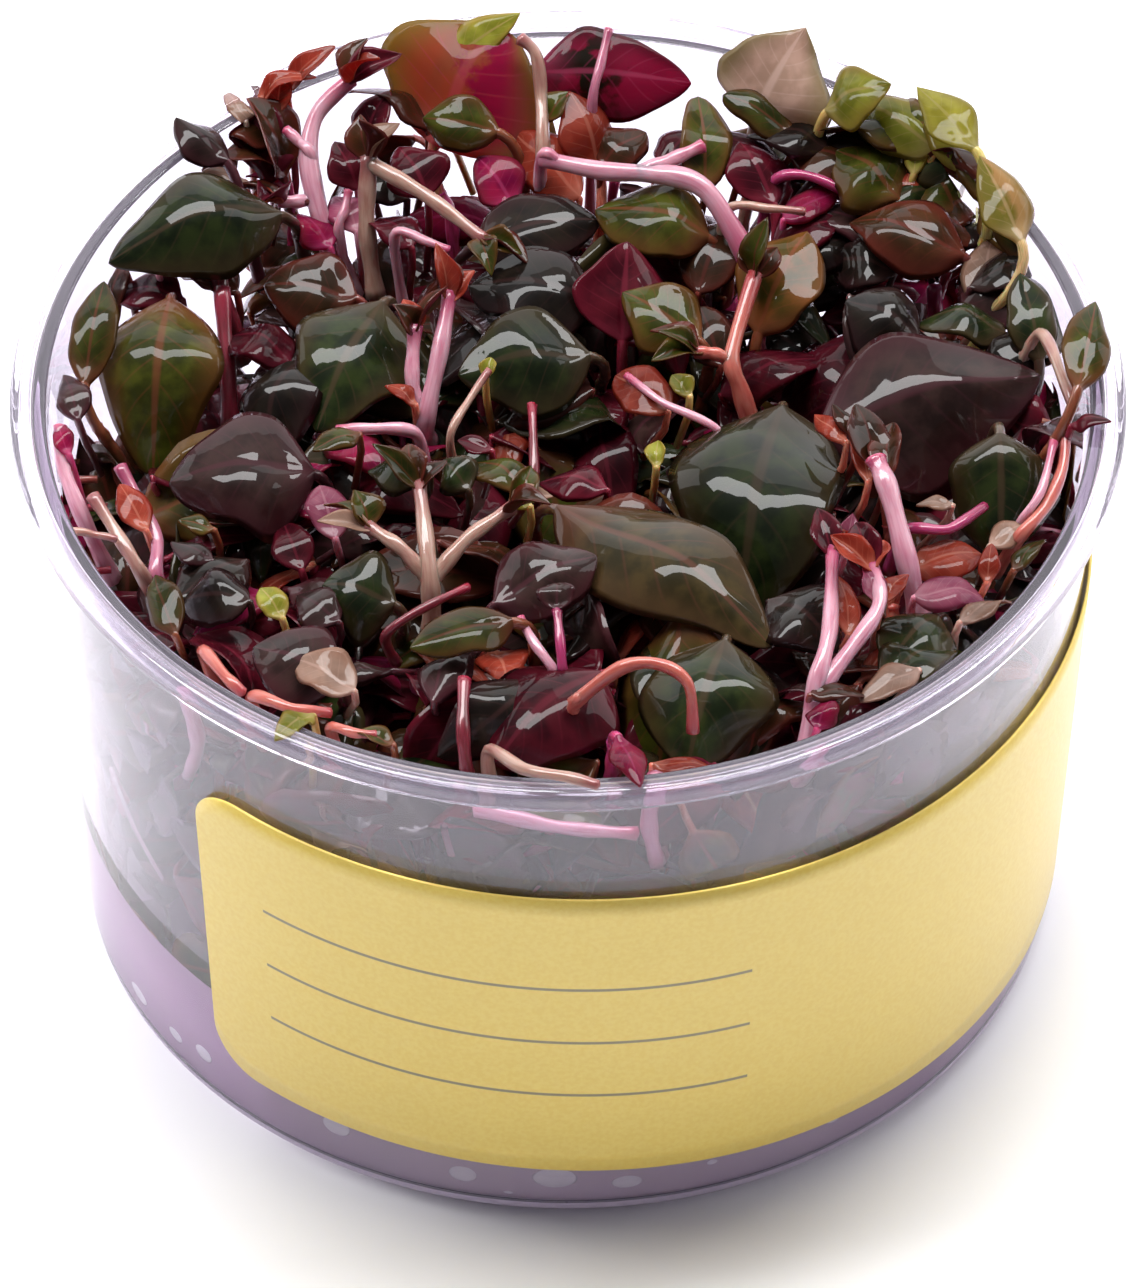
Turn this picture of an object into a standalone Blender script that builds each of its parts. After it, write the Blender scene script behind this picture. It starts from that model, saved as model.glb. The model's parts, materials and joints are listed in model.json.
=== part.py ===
"""Alternanthera reineckii, a red-leaved water plant, growing in its clear culture cup.

The cup stands on the floor with the centre of its underside at the origin, +Z up, front at -Y.
It is packed to the rim with small plants on a bed of clear gel, and a label wraps its front and
right side. Lengths are in millimetres, and the mesh code turns them to metres.
"""
import math
from collections import namedtuple

import bmesh
import bpy
from mathutils import Matrix, Vector
from mathutils.bvhtree import BVHTree

MM = 0.001
UP = Vector((0.0, 0.0, 1.0))
GAP = 0.3                      # clearance between pieces that touch
SHARP_EDGE = 40.0              # degrees; edges under this are shaded smooth

# Cup
TURNED_SIDES = 40
CUP_HEIGHT = 62.0
LIP_RADIUS = 50.5              # outer edge of the turned-down lip
LIP_DEPTH = 2.1
LIP_WALL = 0.9
WALL_RADIUS_TOP = 48.35        # outside of the wall just under the rim
WALL_RADIUS_BASE = 45.4        # outside of the wall above the bottom corner
WALL = 1.15
RIM_STEP = 1.0                 # the wall's top edge lies this far below the flange
FLANGE = 1.1
FLOOR = 1.3
CORNER = 2.0                   # radius of the rounded bottom corner
CORNER_STEPS = 3
LIP_CHAMFER = 0.4
STEP_SLOPE = 0.25              # the step from the flange to the wall's top edge leans by this much

# Gel
GEL_TOP = 15.0
MENISCUS = 1.4                 # the gel climbs the wall by this much
MENISCUS_RUN = 2.5             # over this distance from it

# Label
LABEL_THICKNESS = 0.25
LABEL_LOW = 7.5
LABEL_HIGH = 46.0
LABEL_CORNER = 5.0
LABEL_START = -134.0           # degrees about +Z from +X, left end, 44 degrees left of the front
LABEL_END = 12.0               # right end, past the right-hand side of the cup
LABEL_CORNER_STEPS = 4
LABEL_STEPS = 14               # between the corners
LABEL_SLANT = -1.8             # rise per radian to the right: it was stuck on a little askew

# Plant
BLADE_HALF_THICKNESS = 0.25
STALK_RADIUS = 0.7
STALK_STATIONS = (0.0, 0.55)   # shares of the stalk's length
STALK_BEND = 0.4               # how far before the blade the stalk bends into its line
LEAF_STATIONS = (0.06, 0.26, 0.50, 0.75, 0.93)
LEAF_ROUND = ((-1.0, 0), (-0.5, 1), (0.0, 1), (0.5, 1), (1.0, 0), (0.5, -1), (0.0, -1), (-0.5, -1))
DROOP_CURVE = 1.6              # 1 folds a leaf sharply along its midrib, 2 rounds it
BLADE_TAPER = 0.72             # higher is more pointed
BLADE_SHIFT = 0.8              # below 1 the widest place is nearer the base
STEM_SIDES = 6
SETTLE_SLOPE = Vector((0.0, 0.69, -0.72))    # a leaf that would touch slides along this slope
SETTLE_STEP = 0.4
SETTLE_REACH = 30                            # steps either way

# Clumps of lower shoots
CLUMP_FLOOR = GEL_TOP + MENISCUS + GAP
CLUMP_TOP = 53.0
CLUMP_LUMPS = (2.0, 1.5)       # heights of its coarse and its slanting lumps
CLUMP_BACK_FALL = 0.30         # fall of the top for each millimetre further back than CLUMP_BACK
CLUMP_BACK = 8.0
CLUMP_LEFT_FALL = 0.35         # and for each millimetre further left than CLUMP_LEFT
CLUMP_LEFT = 24.0
CLUMP_LEAST = 4.0              # least height
CLUMP_PROBE = 2.0              # distance from each of its corners that is kept under the leaves too
CLUMP_DROP = 0.6               # step that a corner is lowered by until it is clear
CLUMP_INNER = 0.02             # share of the reach where the first ring lies
CLUMP_RINGS = 9
CLUMP_SECTORS = 14
CLUMP_SLIT = 0.5               # half of the gap between neighbouring clumps
CLUMP_WALL_GAP = 0.6

TONES = {
    "cup": (0.80, 0.80, 0.84),
    "label": (0.80, 0.62, 0.16),
    "gel": (0.45, 0.28, 0.46),
    "clump": (0.06, 0.04, 0.03),
    "dark": (0.035, 0.025, 0.025),
    "green": (0.030, 0.045, 0.018),
    "olive": (0.110, 0.105, 0.025),
    "lime": (0.350, 0.330, 0.060),
    "brown": (0.075, 0.035, 0.022),
    "purple": (0.055, 0.020, 0.030),
    "maroon": (0.110, 0.015, 0.030),
    "magenta": (0.350, 0.020, 0.110),
    "salmon": (0.500, 0.120, 0.080),
    "tan": (0.460, 0.270, 0.200),
    "pink": (0.650, 0.280, 0.360),
}

# A leaf: where its stalk starts, where its blade starts, the blade's tip, the blade's width,
# how far the midrib arches, the turn about its own length at its base and the further twist to its
# tip in degrees, how far its left and right edges droop (below zero: rise) as a share of the half
# width, and its tone.
Leaf = namedtuple("Leaf", "name root base tip width arch turn twist left right tone")

LEAVES = tuple(Leaf(*row) for row in (
    ("rim_right", (43, -4, 57), (46, -1, 62.9), (48, 9, 64.4), 4.5, 0.8, 10, 8, 0.2, 0.3, "olive"),
    ("rim_yellow", (38.5, 24.5, 57), (37.5, 29.5, 63.4), (32, 37, 64.8), 4.5, 0.8, -10, -15, 0.1, 0.4, "lime"),
    ("rim_purple", (-30, 28, 56), (-31.5, 30, 61.5), (-36, 33.5, 64.2), 5, 0.6, 0, 20, 0.5, 0.5, "purple"),
    ("rim_pink_tip", (4, -40, 57), (4.4, -43.5, 62), (6.3, -50, 63.1), 3, 0.6, 0, 0, 0.3, 0.3, "magenta"),
    ("back_tan", (17, 34, 55), (17.5, 37.5, 60), (21.8, 42.3, 67), 12, 1, 12, 0, 0, 0.35, "tan"),
    ("back_big", (-11, 34, 51), (-12.5, 37, 57), (-6.5, 44.5, 65.3), 16, 1.5, -8, 10, -0.2, 0.7, "magenta"),
    ("right_round", (19, 6, 50), (19.5, 4, 55.5), (15, -19, 49.5), 16, 6, 0, 6, 0.15, 0.35, "green"),
    ("right_big", (22, 4, 51), (23, -0.5, 57), (43, 5.5, 59), 13, 2, 12, 0, 0, 0.95, "purple"),
    ("left_bright", (-35, 19, 51), (-36.5, 16.5, 57), (-38, 1, 50), 11, 5, 0, 6, 0.25, 0.35, "olive"),
    ("left_arched", (-25, 29, 53), (-26.5, 25, 59.5), (-42, 18.5, 60.5), 9.5, 4, -12, 0, 0.75, 0.25, "green"),
    ("front_diagonal", (-3, -6, 50), (-1, -9.5, 56), (18, -26, 57), 11, 2.5, -6, 10, 0.1, 0.5, "brown"),
    ("front_maroon", (3, -28, 50), (3, -31, 57), (-6.5, -40, 55.5), 12, 2.5, 0, -10, 0.5, 0.4, "maroon"),
    ("front_green", (14, -23, 49), (14, -26, 56), (10.5, -38, 52), 12, 2.5, 0, -8, 0.3, 0.45, "green"),
    ("mid_left_green", (-16, 19, 51), (-17, 16, 57), (-23, 3.5, 53), 11, 2.5, 0, 10, 0.6, 0.1, "green"),
    ("left_purple", (-22, -2, 49), (-23, -4, 55), (-36, -5.5, 56), 12, 2.5, -14, 0, 0.55, 0.1, "purple"),
    ("back_magenta", (-4, 36, 54), (-3, 41.5, 62), (11.5, 41, 61.5), 8.5, 1.5, 30, -10, 0, 0.5, "maroon"),
    ("mid_highlight", (4, 20, 50), (2.5, 17.5, 55.5), (-9, 19, 57), 10, 2, -8, 10, 0.5, 0.1, "dark"),
    ("mid_olive", (15, 26, 51), (13, 25, 56.5), (2.5, 28, 57.5), 9, 2.5, -8, 0, 0.45, 0.35, "olive"),
    ("mid_dark", (-10, 27, 51), (-8.5, 24.5, 56), (3, 27.5, 56.5), 8, 2, 10, 0, 0.1, 0.5, "dark"),
    ("mid_grey", (3, 13, 49), (2, 11, 55), (-10, 8.5, 55.5), 10, 1.5, -6, -12, 0.5, 0, "green"),
    ("mid_crimson", (5, 16, 46), (5, 17, 51), (5.5, 24.5, 56.5), 9, 1, 0, 15, -0.2, 0.3, "maroon"),
    ("mid_small_olive", (13, 15, 50), (12, 13, 55), (5, 17.5, 57), 7, 1, -8, 0, 0.4, 0.1, "olive"),
    ("right_brown", (36, 20, 51), (36.5, 22, 57), (26, 26, 58), 8, 2, -8, 8, 0.6, 0.1, "brown"),
    ("right_dark_olive", (29, 28, 52), (30.5, 29, 57.5), (25, 33.5, 60), 9, 1.5, 0, 0, 0.4, 0.2, "olive"),
    ("back_yellow_green", (23, 37, 56), (24, 36.5, 61.5), (29.5, 37, 65), 6.5, 1, 0, 20, 0.2, 0.3, "lime"),
    ("right_cream", (39, 17, 55), (41.5, 19.5, 61.3), (37.8, 28, 64.2), 5, 1, -8, -15, 0.1, 0.5, "lime"),
    ("right_mauve", (19, 26, 52), (19, 29, 57), (16, 34.5, 60), 6.5, 1, 0, 12, 0, 0.4, "maroon"),
    ("right_orange", (17, 14, 48), (17.5, 16, 53), (22, 25, 57.5), 8, 1.5, 0, -12, -0.1, 0.3, "brown"),
    ("right_arc", (33, 11, 50), (32, 13, 55.5), (25.5, 16, 57.5), 7.5, 1.5, -10, 10, 0.6, 0.2, "dark"),
    ("right_wall_green", (42, 8, 51), (43, 9.5, 56), (41.5, 17, 60), 5, 1, 0, 10, 0.3, 0.1, "green"),
    ("left_wall", (-42, 4, 51), (-44, 6.5, 56), (-42.5, 16.5, 59.5), 4.5, 1, 0, -10, 0.1, 0.4, "olive"),
    ("left_folded", (-19, 19, 48), (-19.5, 19.5, 54), (-28, 20.5, 55), 8, 1, -10, 8, 0.7, -0.1, "brown"),
    ("back_left_red", (-25.5, 33, 51), (-26.5, 34, 56), (-29.5, 36.5, 63.5), 7.5, 1, 0, 20, -0.6, -0.2, "brown"),
    ("back_small_olive", (-4, 34, 54), (-6.5, 35.5, 60), (-13.5, 37, 60.5), 5.5, 1, -25, -10, 0.4, 0.1, "olive"),
    ("back_salmon", (3, 32, 51), (3, 34.5, 55.5), (0.5, 39.5, 61.5), 6, 1, 0, 12, 0.1, 0.4, "salmon"),
    ("right_green", (38, 2, 51), (39, -1, 57), (39, -10.5, 50.5), 10, 2, 0, 0, 0.4, 0.5, "green"),
    ("red_shoot", (29, -12, 54), (28, -9, 60.5), (26, -2.5, 62.5), 4.5, 0.8, 0, 18, -0.4, 0, "brown"),
    ("right_orange_red", (29, -20, 52), (31, -18.5, 57.5), (37, -17, 58.5), 5.5, 0.8, 0, -15, 0.1, 0.4, "salmon"),
    ("front_right_dark", (34, -20, 50), (33, -23, 56), (28.5, -29, 56), 7.5, 1.5, 0, 8, 0.5, 0.3, "green"),
    ("front_purple", (-7, -19, 50), (-6.5, -21, 55.5), (2.5, -17, 58), 8, 1.5, 12, -8, 0.1, 0.5, "purple"),
    ("front_small_olive", (-3, -24, 53), (-5, -26.5, 59), (-14, -30, 59.5), 5.5, 1, -8, 10, 0.4, 0.1, "olive"),
    ("front_left_dark", (-15, -20, 50), (-15.5, -21, 55.5), (-22, -19.5, 56.5), 8, 1.5, -14, -8, 0.6, 0.2, "green"),
    ("front_left_purple", (-20, -29, 51), (-20.5, -31, 56), (-28, -27.5, 57), 8, 1.5, -14, 10, 0.5, 0.1, "purple"),
))

# A stem: its limbs, each a radius at its start, one at its end, and the points that it runs through.
Stem = namedtuple("Stem", "name tone limbs")

STEMS = (
    Stem("stem_front_right", "pink", (
        (1.1, 0.7, ((21, -37, 52), (22, -33, 58), (23.2, -28, 59.5), (23.6, -18, 59.5))),
        (0.9, 0.7, ((22.2, -33.2, 57.4), (26, -28.5, 59.5), (27.7, -25, 60.3), (27, -21, 60.8))))),
    Stem("stem_front_fork", "tan", (
        (1.1, 0.7, ((-12.2, -20, 51), (-12.4, -18.3, 57), (-13.4, -9.5, 59.5))),
        (0.8, 0.6, ((-12.3, -18.6, 56), (-15, -16.5, 58.2), (-18, -14.2, 58.6))),
        (0.8, 0.6, ((-12.3, -18.6, 56), (-9, -15.5, 58.4), (-5, -12, 58.8))))),
    Stem("stem_cut", "pink", (
        (1.1, 1.0, ((31.5, -20, 53), (30.3, -18, 58), (28.7, -12.5, 61.5), (27.6, -9.5, 62.4))),)),
    Stem("stem_front_arch", "salmon", (
        (0.8, 0.6, ((0.5, -35, 57.5), (4.6, -34.5, 61.5), (8, -34.5, 62), (10.6, -36, 61), (11, -38, 57))),)),
    Stem("stem_salmon_mid", "salmon", (
        (1.0, 0.7, ((17, 7.5, 49), (15.6, 9, 53.5), (15, 11, 55.5), (17.2, 18.8, 58))),
        (0.7, 0.6, ((15.1, 10.4, 55), (13.4, 10.4, 56), (11.6, 10.2, 56.4))))),
    Stem("stem_mid_pink", "pink", (
        (1.1, 0.8, ((-13, 7, 48), (-13, 6, 52), (-11.8, 10, 56), (-10.8, 15.5, 58.8))),
        (0.8, 0.7, ((-13, 6.3, 51.5), (-14.2, 8, 54.5), (-14, 12.5, 57.5))))),
    Stem("stem_back_tan", "tan", (
        (0.9, 0.9, ((-17.8, 24, 50), (-18.6, 27, 56), (-18.4, 31, 61.2))),
        (0.8, 0.6, ((-18.4, 30.6, 60.8), (-13, 27, 60), (-7.5, 22.5, 58.5))))),
    Stem("stem_back_left", "pink", (
        (1.2, 0.7, ((-20, 26, 48), (-22.6, 28, 55), (-24, 32.5, 59), (-23.2, 36.5, 61.5), (-20, 39, 63.5))),
        (0.7, 0.6, ((-23.4, 30, 56.8), (-25.2, 29.2, 57.2), (-26.8, 29, 57.4))))),
    Stem("stem_back_long", "pink", (
        (0.8, 1.1, ((-2.5, 32, 60), (3.5, 30, 60.3), (8, 29.6, 60.3), (12.7, 27.6, 60.2), (17.4, 22, 55))),
        (0.8, 0.6, ((6.5, 29.8, 60.3), (9.5, 31, 60.8), (12.5, 32.4, 61.3))))),
    Stem("stem_left_red", "maroon", (
        (1.0, 0.8, ((-30.8, 7, 47), (-31.2, 11, 52.5), (-31.8, 18, 57))),)),
)

# Clumps of lower shoots: the direction that each faces, in degrees about +Z from +X
CLUMPS = (
    ("shoots_back", 90.0),
    ("shoots_left", 180.0),
    ("shoots_front", 270.0),
    ("shoots_right", 0.0),
)


def wall_radius(z):
    """Outer radius of the cup's tapered wall at a height."""
    rise = (CUP_HEIGHT - RIM_STEP) - CORNER
    share = (z - CORNER) / rise
    return WALL_RADIUS_BASE + (WALL_RADIUS_TOP - WALL_RADIUS_BASE) * share


def material(name, tone):
    """A plain Principled finish in one tone."""
    finish = bpy.data.materials.new(name + "_finish")
    finish.use_nodes = True
    shader = finish.node_tree.nodes["Principled BSDF"]
    shader.inputs["Base Color"].default_value = (*TONES[tone], 1.0)
    shader.inputs["Metallic"].default_value = 0.0
    clear = tone in ("cup", "gel")
    shader.inputs["Roughness"].default_value = 0.05 if clear else 0.3
    shader.inputs["Transmission Weight"].default_value = 0.9 if clear else 0.0
    shader.inputs["IOR"].default_value = 1.46 if clear else 1.4
    return finish


def add_object(name, points, faces, tone):
    """One smooth-shaded mesh object from points in millimetres."""
    mesh = bpy.data.meshes.new(name)
    mesh.from_pydata([Vector(p) * MM for p in points], [], faces)
    shell = bmesh.new()
    shell.from_mesh(mesh)
    bmesh.ops.recalc_face_normals(shell, faces=shell.faces)
    shell.to_mesh(mesh)
    shell.free()
    mesh.shade_smooth()
    mesh.set_sharp_from_angle(angle=math.radians(SHARP_EDGE))
    mesh.materials.append(material(name, tone))
    item = bpy.data.objects.new(name, mesh)
    bpy.context.scene.collection.objects.link(item)
    return item


def arc(centre, radius, start, end, steps):
    """Points (radius, height) along an arc, angles in degrees."""
    turns = [math.radians(start + (end - start) * i / steps) for i in range(steps + 1)]
    return [(centre[0] + radius * math.cos(t), centre[1] + radius * math.sin(t)) for t in turns]


def turned(profile):
    """A closed body turned from a profile, with flat ends."""
    points, faces = [], [tuple(reversed(range(TURNED_SIDES)))]
    for radius, height in profile:
        for i in range(TURNED_SIDES):
            turn = 2.0 * math.pi * i / TURNED_SIDES
            points.append((radius * math.cos(turn), radius * math.sin(turn), height))
    last = len(points) - TURNED_SIDES
    for low in range(0, last, TURNED_SIDES):
        high = low + TURNED_SIDES
        for i in range(TURNED_SIDES):
            j = (i + 1) % TURNED_SIDES
            faces.append((low + i, low + j, high + j, high + i))
    faces.append(tuple(range(last, last + TURNED_SIDES)))
    return points, faces


def cup_shape():
    """Tapered cup, rounded bottom corner, stepped rim, flange and turned-down lip."""
    corner = arc((WALL_RADIUS_BASE - CORNER, CORNER), CORNER, -90.0, 0.0, CORNER_STEPS)
    wall_top = CUP_HEIGHT - RIM_STEP
    under_flange = CUP_HEIGHT - FLANGE
    lip_foot = CUP_HEIGHT - LIP_DEPTH
    inner_corner = (WALL_RADIUS_BASE - CORNER, CORNER + FLOOR - WALL)
    outside = corner + [(wall_radius(under_flange), under_flange)]
    lip = [(LIP_RADIUS - LIP_WALL, under_flange), (LIP_RADIUS - LIP_WALL, lip_foot), (LIP_RADIUS, lip_foot),
           (LIP_RADIUS, CUP_HEIGHT - LIP_CHAMFER), (LIP_RADIUS - LIP_CHAMFER, CUP_HEIGHT)]
    rim = [(wall_radius(wall_top) + STEP_SLOPE, CUP_HEIGHT), (wall_radius(wall_top), wall_top),
           (wall_radius(wall_top) - WALL, wall_top)]
    inside = arc(inner_corner, CORNER - WALL, 0.0, -90.0, CORNER_STEPS - 1)
    return turned(outside + lip + rim + inside)


def gel_shape():
    """Disc of gel that follows the cup's inside, with a low meniscus at the wall."""
    reach = CORNER - WALL - GAP
    corner = arc((WALL_RADIUS_BASE - CORNER, CORNER + FLOOR - WALL), reach, -90.0, 0.0, CORNER_STEPS - 1)
    edge = wall_radius(GEL_TOP) - WALL - GAP
    return turned(corner + [(edge, GEL_TOP + MENISCUS), (edge - MENISCUS_RUN, GEL_TOP)])


def label_shape():
    """Thin sheet with rounded corners, wrapped round the tapered wall."""
    sweep = math.radians(LABEL_END - LABEL_START)
    corner_turn = LABEL_CORNER / WALL_RADIUS_BASE
    quarter = [math.pi / 2.0 * i / LABEL_CORNER_STEPS for i in range(LABEL_CORNER_STEPS + 1)]
    rounds = [corner_turn * (1.0 - math.cos(turn)) for turn in quarter]
    plain = sweep - 2.0 * corner_turn
    middle = [corner_turn + plain * i / LABEL_STEPS for i in range(1, LABEL_STEPS)]
    columns = rounds + middle + [sweep - turn for turn in reversed(rounds)]
    points, faces = [], []
    for turn in columns:
        end = min(turn, sweep - turn)
        drop = 0.0
        if end < corner_turn:
            across = (corner_turn - end) * WALL_RADIUS_BASE
            drop = LABEL_CORNER - math.sqrt(max(LABEL_CORNER ** 2 - across ** 2, 0.0))
        angle = math.radians(LABEL_START) + turn
        slant = LABEL_SLANT * (angle + math.pi / 2.0)
        out = Vector((math.cos(angle), math.sin(angle), 0.0))
        for lift, z in ((0.0, LABEL_LOW + drop), (LABEL_THICKNESS, LABEL_LOW + drop),
                        (LABEL_THICKNESS, LABEL_HIGH - drop), (0.0, LABEL_HIGH - drop)):
            points.append(out * (wall_radius(z + slant) + GAP + lift) + UP * (z + slant))
    for k in range(len(columns) - 1):
        for i in range(4):
            j = (i + 1) % 4
            faces.append((4 * k + i, 4 * k + 4 + i, 4 * k + 4 + j, 4 * k + j))
    last = 4 * (len(columns) - 1)
    faces += [(0, 1, 2, 3), (last + 3, last + 2, last + 1, last)]
    return points, faces


def blade_half_width(share):
    """Half width of a leaf as a share of its widest, widest before the middle, pointed tip."""
    return math.sin(math.pi * share ** BLADE_SHIFT) ** BLADE_TAPER


def leaf_ring(centre, side, normal, half_width, half_thickness, left, right):
    """Eight points round a leaf: left edge, three above, right edge, three below."""
    ring = []
    for across, face in LEAF_ROUND:
        height = face * half_thickness * math.sqrt(1.0 - across * across)
        sag = (left if across < 0.0 else right) * half_width * abs(across) ** DROOP_CURVE
        ring.append(centre + side * (across * half_width) + normal * (height - sag))
    return ring


def leaf_shape(leaf, grow=0.0):
    """A stalk and its blade as one closed body. grow thickens it all round."""
    root, base, tip = Vector(leaf.root), Vector(leaf.base), Vector(leaf.tip)
    along = (tip - base).normalized()
    length = (tip - base).length
    level = along.cross(UP).normalized()
    side = Matrix.Rotation(math.radians(leaf.turn), 3, along) @ level
    normal = side.cross(along)
    start = (along + normal * (4.0 * leaf.arch / length)).normalized()
    bend = base - start * (STALK_BEND * (base - root).length)
    rings = []
    for share in STALK_STATIONS:
        centre = root.lerp(bend, share).lerp(bend.lerp(base, share), share)
        heading = (bend.lerp(base, share) - root.lerp(bend, share)).normalized()
        flat = (side - heading * side.dot(heading)).normalized()
        rings.append(leaf_ring(centre, flat, flat.cross(heading), STALK_RADIUS + grow,
                               STALK_RADIUS + grow, 0.0, 0.0))
    for share in LEAF_STATIONS:
        centre = base + along * (length * share) + normal * (leaf.arch * 4.0 * share * (1.0 - share))
        half = leaf.width / 2.0 * blade_half_width(share) + grow
        twisted = Matrix.Rotation(math.radians(leaf.turn + leaf.twist * share), 3, along) @ level
        rings.append(leaf_ring(centre, twisted, twisted.cross(along), half, BLADE_HALF_THICKNESS + grow,
                               leaf.left, leaf.right))
    points = [p for ring in rings for p in ring] + [tip + along * grow]
    faces = [tuple(range(8))]
    for k in range(len(rings) - 1):
        for i in range(8):
            j = (i + 1) % 8
            faces.append((8 * k + i, 8 * k + 8 + i, 8 * k + 8 + j, 8 * k + j))
    last = 8 * (len(rings) - 1)
    faces += [(last + i, last + 8, last + (i + 1) % 8) for i in range(8)]
    return points, faces


def smooth_path(stops):
    """Points on a smooth curve through the stops, one added between each pair."""
    stops = [Vector(s) for s in stops]
    ends = [2.0 * stops[0] - stops[1]] + stops + [2.0 * stops[-1] - stops[-2]]
    path = [stops[0]]
    for a, b, c, d in zip(ends, ends[1:], ends[2:], ends[3:]):
        path.append((9.0 * (b + c) - a - d) / 16.0)
        path.append(c)
    return path


def limb_shape(limb, grow=0.0):
    """A closed round limb, thicker at its start than at its end."""
    first, last, stops = limb
    path = smooth_path(stops)
    side = (path[1] - path[0]).orthogonal().normalized()
    points, faces = [], [tuple(range(STEM_SIDES))]
    for k, centre in enumerate(path):
        heading = (path[min(k + 1, len(path) - 1)] - path[max(k - 1, 0)]).normalized()
        side = (side - heading * side.dot(heading)).normalized()
        other = side.cross(heading)
        radius = first + (last - first) * k / (len(path) - 1) + grow
        for i in range(STEM_SIDES):
            turn = 2.0 * math.pi * i / STEM_SIDES
            points.append(centre + side * (radius * math.cos(turn)) + other * (radius * math.sin(turn)))
    for k in range(len(path) - 1):
        for i in range(STEM_SIDES):
            j = (i + 1) % STEM_SIDES
            a = STEM_SIDES * k
            faces.append((a + i, a + STEM_SIDES + i, a + STEM_SIDES + j, a + j))
    top = STEM_SIDES * (len(path) - 1)
    faces.append(tuple(reversed(range(top, top + STEM_SIDES))))
    return points, faces


def moved(shape, shift):
    """The same shape, shifted."""
    return [Vector(p) + shift for p in shape[0]], shape[1]


def tree_of(shape):
    """Search tree over a shape's faces."""
    return BVHTree.FromPolygons(shape[0], shape[1])


def settle(name, grown, placed):
    """The shortest slide along the slope that leaves a piece clear of what is placed."""
    for step in range(SETTLE_REACH + 1):
        for sign in (1.0, -1.0):
            shift = SETTLE_SLOPE * (sign * step * SETTLE_STEP)
            trees = [tree_of(moved(shape, shift)) for shape in grown]
            if not any(tree.overlap(other) for tree in trees for other in placed):
                return shift
    raise RuntimeError("no clear place for " + name)


def clump_top(x, y):
    """Height of the lower shoots before they give way to the upper leaves."""
    coarse, slanting = CLUMP_LUMPS
    lumps = coarse * math.sin(x / 2.3 + 0.7) * math.cos(y / 2.1) + slanting * math.sin(y / 3.3 - x / 4.1)
    back = max(0.0, y - CLUMP_BACK) * CLUMP_BACK_FALL
    left = max(0.0, -x - CLUMP_LEFT) * CLUMP_LEFT_FALL
    return CLUMP_TOP - back - left + lumps


def clump_grid(facing):
    """Plan places of one quarter clump, row by row from the cup's middle to its wall."""
    middle = math.radians(facing)
    start = Vector((math.cos(middle), math.sin(middle))) * (CLUMP_SLIT * math.sqrt(2.0))
    reach = wall_radius(CLUMP_FLOOR) - WALL - CLUMP_WALL_GAP
    rows = []
    for ring in range(CLUMP_RINGS + 1):
        share = CLUMP_INNER + (1.0 - CLUMP_INNER) * ring / CLUMP_RINGS
        radius = (reach - CLUMP_SLIT) * share
        row = []
        for sector in range(CLUMP_SECTORS + 1):
            turn = middle + math.radians(-45.0 + 90.0 * sector / CLUMP_SECTORS)
            row.append(start + Vector((math.cos(turn), math.sin(turn))) * radius)
        rows.append(row)
    return rows


def clump_shape(rows, heights):
    """Closed body between the gel and a bumpy top."""
    wide, deep = len(rows[0]), len(rows)
    spots = [(place, heights[k][i]) for k, row in enumerate(rows) for i, place in enumerate(row)]
    points = [Vector((place.x, place.y, height)) for place, height in spots]
    rim = [(0, i) for i in range(wide)] + [(k, wide - 1) for k in range(1, deep)]
    rim += [(deep - 1, i) for i in range(wide - 2, -1, -1)] + [(k, 0) for k in range(deep - 2, 0, -1)]
    foot = len(points)
    points += [Vector((rows[k][i].x, rows[k][i].y, CLUMP_FLOOR)) for k, i in rim]
    faces = []
    for k in range(deep - 1):
        for i in range(wide - 1):
            a, b = k * wide + i, (k + 1) * wide + i
            faces += [(a, b, b + 1), (a, b + 1, a + 1)]
    for n, (k, i) in enumerate(rim):
        m = (n + 1) % len(rim)
        k2, i2 = rim[m]
        faces.append((k * wide + i, k2 * wide + i2, foot + m, foot + n))
    faces.append(tuple(range(foot, foot + len(rim))))
    return points, faces


def fitted_clump(facing, grown_trees):
    """A clump whose top is lowered until it clears the upper leaves and stems."""
    rows = clump_grid(facing)
    heights = []
    for row in rows:
        line = []
        for place in row:
            height = clump_top(place.x, place.y)
            for aside, behind in ((0, 0), (1, 0), (-1, 0), (0, 1), (0, -1)):
                probe = Vector((aside, behind)) * CLUMP_PROBE + place
                under = Vector((probe.x, probe.y, CLUMP_FLOOR))
                for tree in grown_trees:
                    hit = tree.ray_cast(under, UP)[0]
                    if hit is not None:
                        height = min(height, hit.z - GAP)
            line.append(max(height, CLUMP_FLOOR + CLUMP_LEAST))
        heights.append(line)
    wide = len(rows[0])
    while True:
        shape = clump_shape(rows, heights)
        tree = tree_of(shape)
        low = {index for other in grown_trees for index, _ in tree.overlap(other)}
        if not low:
            return shape
        for corner in {corner for index in low for corner in shape[1][index]}:
            if corner < wide * len(rows):
                heights[corner // wide][corner % wide] -= CLUMP_DROP


def add_stem(stem, limbs):
    """One stem object: its first limb, with the others joined on at the forks."""
    whole = add_object(stem.name, *limbs[0], stem.tone)
    for number, limb in enumerate(limbs[1:], 1):
        guide = add_object("%s_limb_%d" % (stem.name, number), *limb, stem.tone)
        guide.hide_render = True
        guide.display_type = "WIRE"
        union = whole.modifiers.new("fork", "BOOLEAN")
        union.operation = "UNION"
        union.object = guide


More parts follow.
